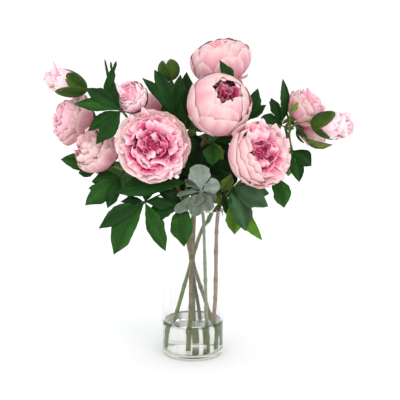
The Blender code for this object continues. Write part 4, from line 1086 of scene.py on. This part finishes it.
# ======================================================================= leaves
FRONT, BACK = (0.0, -0.85, 0.53), (0.0, 0.85, 0.53)
LEAVES = {
    "leaf_upper_left": ("stem_far_left", (-104, -40, 391), (-106, -86, 397), FRONT,
        [(-122, -80, 472, 17), (-158, -84, 430, 19), (-176, -88, 407, 20), (-154, -98, 367, 18), (-141, -106, 348, 20)]),
    "leaf_by_bud": ("stem_top", (-20, 8, 372), (-30, -15, 386), FRONT,
        [(-79, -30, 449, 13), (-60, -24, 462, 18), (-19, -14, 455, 17)]),
    "leaf_behind_bud": ("stem_top", (0, 24, 345), (-20, 28, 382), FRONT,
        [(-10, 22, 462, 20), (2, 66, 438, 18), (-50, 24, 420, 16)]),
    "leaf_far_left": ("stem_far_left", (-90, 4, 303), (-148, 6, 312), FRONT,
        [(-213, -5, 321, 22), (-190, 26, 296, 18)]),
    "leaf_low_left": ("stem_far_left", (-75, 10, 300), (-112, -52, 297), FRONT,
        [(-163, -78, 255, 24), (-129, -80, 251, 18), (-158, -44, 288, 20)]),
    "leaf_drooping": ("stem_front", (-20, -1, 264), (-72, -87, 261), FRONT,
        [(-139, -108, 224, 24), (-116, -118, 187, 37), (-40, -112, 191, 30)]),
    "leaf_over_rim": ("stem_middle", (2, -16, 252), (-16, -68, 258), FRONT,
        [(-13, -92, 194, 30), (-62, -100, 231, 17), (-117, -92, 276, 30)]),
    "leaf_by_middle": ("stem_top", (36, 36, 392), (84, 8, 380), FRONT,
        [(104, -2, 434, 17), (46, -18, 458, 14), (118, 2, 408, 12)]),
    "leaf_upright": ("stem_far_right", (130, 2, 326), (141, -6, 376), FRONT,
        [(143, -5, 449, 13), (106, -30, 387, 20), (128, 24, 420, 15)]),
    "leaf_under_right_spray": ("stem_far_right", (146, 2, 342), (158, -16, 336), FRONT,
        [(186, -35, 312, 22), (167, -38, 287, 20), (149, -38, 296, 18)]),
    "leaf_right_drop": ("stem_far_right", (112, 2, 312), (130, -26, 295), FRONT,
        [(142, -52, 248, 24)]),
    "leaf_low_right": ("stem_right", (45, -10, 248), (62, -58, 281), FRONT,
        [(119, -50, 270, 20), (113, -90, 255, 22), (79, -94, 218, 28), (57, -90, 246, 15)]),
    "leaf_bright": ("stem_right", (52, -11, 262), (70, -38, 261), FRONT,
        [(64, -70, 209, 26), (107, -66, 199, 17), (96, -34, 214, 18)]),
    "leaf_under_middle": ("stem_middle", (12, -15, 342), (31, -32, 350), FRONT,
        [(30, -52, 314, 27), (48, -36, 322, 18)]),
    "leaf_between_front": ("stem_middle", (9, -16, 328), (-12, -12, 364), FRONT,
        [(6, -22, 362, 12), (-20, -26, 412, 20), (-44, -22, 346, 18), (-2, -30, 334, 18)]),
    "leaf_inner": ("stem_top", (11, 33, 292), (22, 12, 302), FRONT,
        [(-22, 8, 330, 18), (16, 14, 352, 20), (58, 10, 340, 20), (64, 24, 292, 18)]),
    "leaf_at_mouth": ("stem_right", (42, -10, 241), (44, -34, 270), FRONT,
        [(27, -46, 256, 13), (24, -48, 301, 12), (60, -46, 300, 12)]),
    "leaf_back_left": ("stem_top", (-22, 36, 326), (-56, 74, 328), BACK,
        [(-112, 92, 348, 22), (-104, 108, 292, 24), (-60, 116, 284, 26), (-24, 104, 312, 22), (-72, 96, 372, 20)]),
    "leaf_back_top": ("stem_top", (20, 33, 342), (22, 90, 362), BACK,
        [(22, 108, 430, 22), (-26, 112, 388, 20), (64, 118, 392, 20), (52, 130, 336, 24), (-4, 128, 322, 22)]),
    "leaf_back_right": ("stem_far_right", (88, 2, 294), (94, 66, 320), BACK,
        [(142, 90, 344, 21), (136, 104, 292, 23), (98, 118, 274, 25), (60, 106, 290, 20), (102, 80, 376, 20)]),
    "leaf_back_rim": ("stem_top", (5, 34, 250), (-6, 68, 272), BACK,
        [(-52, 100, 248, 22), (-18, 116, 228, 26), (28, 108, 236, 24), (44, 92, 268, 20)]),
    "leaf_back_far_left": ("stem_far_left", (-95, 10, 328), (-106, 44, 306), BACK,
        [(-160, 60, 300, 20), (-150, 76, 264, 22), (-112, 84, 248, 22)]),
    "leaf_back_far_right": ("stem_far_right", (146, 2, 342), (150, 36, 326), BACK,
        [(182, 52, 322, 18), (166, 62, 290, 20), (140, 66, 286, 18)]),
}
DARK = (tone(26, 66, 20), tone(56, 92, 42))
# painted shade: a darker green for the leaflets deep in the shaded middle of the bunch
SHADE_PAINTED_GREEN = (tone(16, 42, 14), tone(30, 56, 24))
MID = (tone(40, 84, 28), tone(74, 110, 48))
BRIGHT = (tone(92, 138, 38), tone(112, 150, 56))
GREY = (tone(62, 92, 62), tone(112, 128, 104))
OLIVE = (tone(92, 112, 44), tone(120, 134, 66))
LEAF_TONES = {   # (leaf, leaflet): upper and lower colour where it isn't the common dark green
    ("leaf_low_left", 0): MID, ("leaf_drooping", 1): MID, ("leaf_drooping", 2): MID, ("leaf_over_rim", 0): MID,
    ("leaf_right_drop", 0): MID, ("leaf_far_left", 0): MID, ("leaf_upper_left", 2): MID,
    ("leaf_low_right", 0): GREY, ("leaf_low_right", 1): GREY, ("leaf_low_right", 2): GREY,
    ("leaf_bright", 0): BRIGHT, ("leaf_bright", 1): BRIGHT, ("leaf_bright", 2): MID,
    ("leaf_under_middle", 0): MID, ("leaf_under_middle", 1): OLIVE, ("leaf_between_front", 0): OLIVE,
    ("leaf_at_mouth", 0): OLIVE, ("leaf_at_mouth", 2): OLIVE, ("leaf_under_right_spray", 2): OLIVE,
}
BROAD = {"leaf_upper_left": 1.16, "leaf_drooping": 1.0, "leaf_over_rim": 1.15, "leaf_low_right": 1.35, "leaf_inner": 1.75, "leaf_under_middle": 0.95, "leaf_at_mouth": 1.6, "leaf_behind_bud": 1.6, "leaf_far_left": 1.3, "leaf_by_bud": 1.45, "leaf_behind_bud": 1.45, "leaf_by_middle": 1.3, "leaf_between_front": 1.3, "leaf_upright": 1.2}
LOBED = {("leaf_inner", 0): 1, ("leaf_inner", 2): -1, ("leaf_inner", 3): 1, ("leaf_between_front", 1): -1,
         ("leaf_by_bud", 1): 1, ("leaf_behind_bud", 0): -1, ("leaf_low_left", 0): 1,
         ("leaf_back_left", 2): 1, ("leaf_back_top", 3): -1, ("leaf_back_right", 2): 1, ("leaf_back_rim", 1): -1,
         ("leaf_upper_left", 0): 1, ("leaf_under_right_spray", 0): 1}
# more leaflets that fill the shaded middle, most of them in a darker green that is painted shade: base, tip, width,
# colours
EXTRA = {
    "leaf_inner": [((22, 12, 302), (-36, 10, 262), 26, SHADE_PAINTED_GREEN), ((22, 12, 302), (62, 6, 258), 26, SHADE_PAINTED_GREEN), ((22, 12, 302), (18, 8, 246), 26, SHADE_PAINTED_GREEN),
                   ((22, 12, 302), (-30, 14, 296), 22, SHADE_PAINTED_GREEN)],
    "leaf_between_front": [((-12, -12, 364), (16, -17, 336), 20, SHADE_PAINTED_GREEN), ((-12, -12, 364), (-32, -16, 296), 24, SHADE_PAINTED_GREEN), ((-12, -12, 364), (10, -18, 312), 22, SHADE_PAINTED_GREEN)],
    "leaf_under_middle": [((31, -32, 350), (76, -26, 352), 18, DARK), ((31, -32, 350), (62, -24, 330), 20, SHADE_PAINTED_GREEN), ((31, -32, 350), (64, -24, 298), 22, SHADE_PAINTED_GREEN), ((31, -32, 350), (10, -28, 312), 18, SHADE_PAINTED_GREEN)],
    "leaf_at_mouth": [((44, -34, 270), (58, -46, 232), 17, DARK), ((44, -34, 270), (72, -28, 304), 20, SHADE_PAINTED_GREEN), ((44, -34, 270), (12, -30, 296), 18, SHADE_PAINTED_GREEN)],
    "leaf_over_rim": [((-16, -68, 258), (-68, -84, 246), 20, DARK), ((-16, -68, 258), (-52, -72, 276), 18, SHADE_PAINTED_GREEN)],
    "leaf_drooping": [((-72, -87, 261), (-28, -80, 256), 20, DARK), ((-72, -87, 261), (-66, -84, 288), 16, SHADE_PAINTED_GREEN), ((-72, -87, 261), (-108, -92, 262), 14, SHADE_PAINTED_GREEN)],
    "leaf_by_bud": [((-30, -15, 386), (-44, -18, 430), 18, DARK)],
}


def nearest_on(owner, point):
    best = None
    for path, ra, rb in STEM_LINES[owner]:
        a, b = path[:-1], path[1:]
        d = b - a
        t = np.clip(((point - a) * d).sum(1) / (d * d).sum(1), 0, 1)
        q = a + d * t[:, None]
        gap = np.linalg.norm(point - q, axis=1)
        i = int(gap.argmin())
        if best is None or gap[i] < best[0]:
            best = (float(gap[i]), q[i])
    return best[1]


STEM_LINES = {}
for stem_name, (r0, r1, pts, head) in STEMS.items():
    end, axis = head_base(head)
    STEM_LINES[stem_name] = [(curve_through([*pts, end - axis * 14, end - axis * 0.3], 4.0), r0, r1)]
for owner, rb, bpts, bhead in BRANCHES:
    end, axis = head_base(bhead)
    STEM_LINES[owner].append((curve_through([*bpts, end - axis * 12, end - axis * 0.3], 4.0), rb, rb))

for leaf_name, (owner, start, centre, facing, tips) in LEAVES.items():
    pc = Piece(leaf_name + "_blades", leaf_name, "leaves", MAT_LEAF)
    seed = hash_of(leaf_name)
    rng = np.random.default_rng(seed)
    centre = np.array(centre, float)
    origin = nearest_on(owner, np.array(start, float))
    middle = (origin + centre) / 2 + np.array([0, 0, 0.06 * np.linalg.norm(centre - origin)])
    path = curve_through([origin, origin + unit(centre - origin) * 3.0, middle, centre], 2.0)
    s = np.linspace(0, 1, len(path))
    green = mix(tone(96, 118, 52), tone(70, 100, 40), s)
    pc.rod(path, 1.25 + 0.9 * (1 - smooth(0, 0.14, s)) + 0.5 * smooth(0.86, 1, s), green, 10, seed, 0.03)
    knob = np.array([centre - np.array([0, 0, 2.4]), centre - np.array([0, 0, 1.2]), centre, centre + np.array([0, 0, 1.2]), centre + np.array([0, 0, 2.2])])
    pc.rod(knob, [0.8, 2.0, 2.4, 2.0, 0.7], tone(56, 88, 34), 12, seed + 1, 0.05)
    if leaf_name == "leaf_by_middle":
        leaflet(pc, (66, -8, 425), (41, -38, 475), 20, facing, DARK, seed + 77, arch=0.12)
    if leaf_name == "leaf_upright":
        leaflet(pc, centre, (166, -24, 386), 10, (0.4, -0.8, 0.5), OLIVE, seed + 78, arch=0.15)
        leaflet(pc, centre, (160, -26, 370), 9, (0.5, -0.8, 0.2), OLIVE, seed + 79, arch=-0.10)
        leaflet(pc, centre, (124, -24, 368), 11, (-0.3, -0.8, 0.5), OLIVE, seed + 80, arch=0.12)
    for j, (from_, to_, wide_, cols) in enumerate(EXTRA.get(leaf_name, [])):
        leaflet(pc, from_, to_, wide_, np.array(facing) + np.array([rng.uniform(-0.3, 0.3), 0.0, 0.0]), cols, seed + 500 + j, nt=26)
    if leaf_name == "leaf_over_rim":      # the broad blade under the open flower grows from a stalk of its own
        pc.rod(curve_through([centre, (-11, -66, 276), (-8, -62, 290)], 2.0), 1.6, tone(66, 96, 38), 10, seed + 7, 0.03)
    if leaf_name == "leaf_under_right_spray":
        pc.rod(curve_through([centre, (152, -28, 356), (151, -33, 385), (154, -34, 409)], 3.0), [*np.linspace(2.0, 0.9, len(curve_through([centre, (152, -28, 356), (151, -33, 385), (154, -34, 409)], 3.0)))],
               tone(98, 124, 54), 10, seed + 8, 0.05)
        leaflet(pc, (152, -34, 396), (166, -37, 411), 8, (0.3, -0.9, 0.2), (tone(106, 140, 52), tone(120, 146, 66)), seed + 9, nt=16)
    for j, tip in enumerate(tips):
        cols = LEAF_TONES.get((leaf_name, j), DARK)
        if (leaf_name, j) == ("leaf_upper_left", 0):   # a broad blade that splits into thin twisted tips
            leaflet(pc, centre, (-125, -74, 452), 20, facing, cols, seed, bend=-0.10, arch=0.03)
            leaflet(pc, (-121, -83, 423), (-130, -79, 473), 4.6, (0.5, -0.8, 0.3), cols, seed + 1, shape="strap", arch=0.03, nt=20, relief=0.4)
            leaflet(pc, (-121, -82, 430), (-118, -80, 460), 11, (0.2, -0.9, 0.3), cols, seed + 2, arch=0.04, nt=24, bend=-0.04)
            leaflet(pc, (-119, -81, 448), (-113, -79, 470), 5.0, (-0.3, -0.9, 0.3), cols, seed + 3, shape="strap", arch=0.05, nt=16, relief=0.4)
            leaflet(pc, (-118.5, -81, 453), (-121, -80, 469), 3.6, (0.3, -0.9, 0.3), cols, seed + 4, shape="strap", arch=0.03, nt=14, relief=0.4)
            continue
        turned = np.array(facing) + np.array([rng.uniform(-0.55, 0.55), 0.0, rng.uniform(-0.25, 0.25)])
        root = (-8, -62, 288) if (leaf_name, j) == ("leaf_over_rim", 2) else centre
        leaflet(pc, root, tip[:3], tip[3] * BROAD.get(leaf_name, 1.16), turned, cols, seed + 11 * j, lobe=LOBED.get((leaf_name, j), 0),
                droop=rng.uniform(0.0, 0.05))
    pc.build()

# ======================================================================== sprig
HUB = np.array([13, -66, 274.0])
SPRIG_LEAVES = [(7, -66, 316, 29), (41, -76, 287, 21), (-24, -80, 270, 10), (-27, -86, 247, 15), (27, -88, 248, 18),
                (0, -90, 241, 21), (4, -90, 256, 16), (-12, -58, 292, 13), (36, -58, 262, 14)]
SPRIG_FACING = [(0.1, -0.95, 0.3), (-0.5, -0.8, 0.45), (0.1, -0.55, 0.85), (0.55, -0.8, 0.35), (-0.3, -0.9, 0.3), (0.1, -0.9, 0.1), (-0.2, -0.7, 0.7), (0.4, -0.8, 0.5), (-0.4, -0.8, 0.4)]
FLOCK = (tone(98, 112, 94), tone(106, 120, 100))
FLOCK_PALE = (tone(138, 152, 140), tone(140, 154, 140))
pc = Piece("sprig_flocked_leaves", "sprig_leaves", "sprig", MAT_SPRIG)
start = np.array([13, -60.4, 268.4])
pc.rod(curve_through([start, HUB], 1.5), 1.7, tone(140, 154, 132), 12, 3, 0.05)
pc.rod(np.array([HUB - [0, 0, 3], HUB - [0, 0, 1.5], HUB, HUB + [0, 0, 1.5], HUB + [0, 0, 2.8]]), [1.2, 2.6, 3.1, 2.6, 1.0], tone(128, 144, 124), 14, 4, 0.06)
for j, leaf in enumerate(SPRIG_LEAVES):
    leaflet(pc, HUB, leaf[:3], leaf[3] * 1.08, SPRIG_FACING[j], FLOCK_PALE if j in (0, 1) else FLOCK, 900 + j * 3, arch=0.12, thick=0.9, shape="spoon", fold=0.30,
            rim=tone(176, 188, 174) if j == 0 else tone(134, 148, 130), wave=0.08, relief=0.6, stalk=1.2)
pc.build()

# ============================================================== glass and water
R, WALL, FLOOR, HIGH = 50.0, 3.0, 8.0, 240.0
INNER = R - WALL


def arc(cx, cz, r, start, end, n):
    a = np.radians(np.linspace(start, end, n + 1))
    return [(cx + r * math.cos(x), cz + r * math.sin(x)) for x in a]


def straight(p, q, n):
    return [tuple(np.array(p) + (np.array(q) - np.array(p)) * i / n) for i in range(1, n)]


pc = Piece("vase_clear_glass", "glass_vase", "clear_glass", MAT_GLASS)
inside_floor = [(0.0, FLOOR)] + [(x, FLOOR) for x in (8, 16, 24, 32, 39)]
profile = (inside_floor + arc(INNER - 4, FLOOR + 4, 4, -90, 0, 8)
           + straight((INNER, FLOOR + 4), (INNER, HIGH - 1.5), 16)
           + arc(R - 1.5, HIGH - 1.5, 1.5, 180, 0, 12)
           + straight((R, HIGH - 1.5), (R, 5.0), 16)
           + arc(R - 5, 5.0, 5.0, 0, -90, 10)
           + [(x, 0.0) for x in (38, 28, 18, 8)] + [(0.0, 0.0)])
pc.lathe(profile, 144)
pc.build()

pc = Piece("vase_still_water", "water", "water", MAT_WATER)
LEVEL, OVER = 56.0, 0.2
surface = [(x, LEVEL) for x in (0, 10, 20, 30, 38, 42)] + [(INNER - 2 + 2 * f, LEVEL + 0.55 * f ** 3) for f in (0.0, 0.5, 0.8)]
profile = (surface + [(INNER + OVER, LEVEL + 0.6)]
           + straight((INNER + OVER, LEVEL + 0.6), (INNER + OVER, FLOOR + 4), 5)
           + arc(INNER - 4, FLOOR + 4, 4 + OVER, 0, -90, 8)
           + [(x, FLOOR - OVER) for x in (36, 28, 18, 8)] + [(0.0, FLOOR - OVER)])
pc.lathe(profile, 144)
pc.build()

# ======================================================= floor, light and camera
mat, tree, bsdf, _ = new_material("studio_floor")
bsdf.inputs["Base Color"].default_value = (0.94, 0.94, 0.94, 1.0)
bsdf.inputs["Roughness"].default_value = 0.9
bsdf.inputs["Specular IOR Level"].default_value = 0.1
bsdf.inputs["Emission Color"].default_value = (1.0, 1.0, 1.0, 1.0)
bsdf.inputs["Emission Strength"].default_value = 0.14
mesh = bpy.data.meshes.new("studio_floor")
mesh.from_pydata([(-30, -30, -0.0004), (30, -30, -0.0004), (30, 30, -0.0004), (-30, 30, -0.0004)], [], [(0, 1, 2, 3)])
floor = bpy.data.objects.new("studio_floor", mesh)
bpy.context.scene.collection.objects.link(floor)
mesh.materials.append(mat)

world = bpy.data.worlds.new("studio")
bpy.context.scene.world = world
world.use_nodes = True
tree = world.node_tree
tree.nodes.clear()
out = tree.nodes.new("ShaderNodeOutputWorld")
seen = tree.nodes.new("ShaderNodeBackground")
seen.inputs["Color"].default_value = (1.0, 1.0, 1.0, 1.0)
seen.inputs["Strength"].default_value = 1.05
dome = tree.nodes.new("ShaderNodeBackground")
dome.inputs["Color"].default_value = (0.97, 0.985, 1.0, 1.0)
dome.inputs["Strength"].default_value = 0.92
ray = tree.nodes.new("ShaderNodeLightPath")
choose = tree.nodes.new("ShaderNodeMixShader")
either = tree.nodes.new("ShaderNodeMath")
either.operation = "MAXIMUM"
tree.links.new(ray.outputs["Is Camera Ray"], either.inputs[0])
tree.links.new(ray.outputs["Is Transmission Ray"], either.inputs[1])
tree.links.new(either.outputs[0], choose.inputs[0])
tree.links.new(dome.outputs[0], choose.inputs[1])
tree.links.new(seen.outputs[0], choose.inputs[2])
tree.links.new(choose.outputs[0], out.inputs["Surface"])


def sun(name, direction, strength, angle, colour=(1, 1, 1)):
    light = bpy.data.lights.new(name, "SUN")
    light.energy = strength
    light.angle = math.radians(angle)
    light.color = colour
    obj = bpy.data.objects.new(name, light)
    obj.rotation_euler = Vector(direction).to_track_quat("-Z", "Y").to_euler()
    bpy.context.scene.collection.objects.link(obj)


sun("key", (-0.50, 0.95, -0.55), 0.9, 50, (1.0, 0.985, 0.96))
sun("fill", (0.55, 0.9, -0.10), 0.8, 60, (1.0, 1.0, 1.0))
sun("low", (0.0, 1.0, 0.25), 0.4, 70, (1.0, 1.0, 1.0))

cam = bpy.data.cameras.new("camera")
cam.sensor_width = 36.0
cam.lens = 36.0 * 677.2 / 400.0
cam.shift_x = 0.018
camera = bpy.data.objects.new("camera", cam)
camera.location = (0.0, -1.096, 0.380)
camera.rotation_euler = (math.radians(90 - 6.54), 0.0, 0.0)
bpy.context.scene.collection.objects.link(camera)
bpy.context.scene.camera = camera
bpy.context.scene.view_settings.view_transform = "Standard"
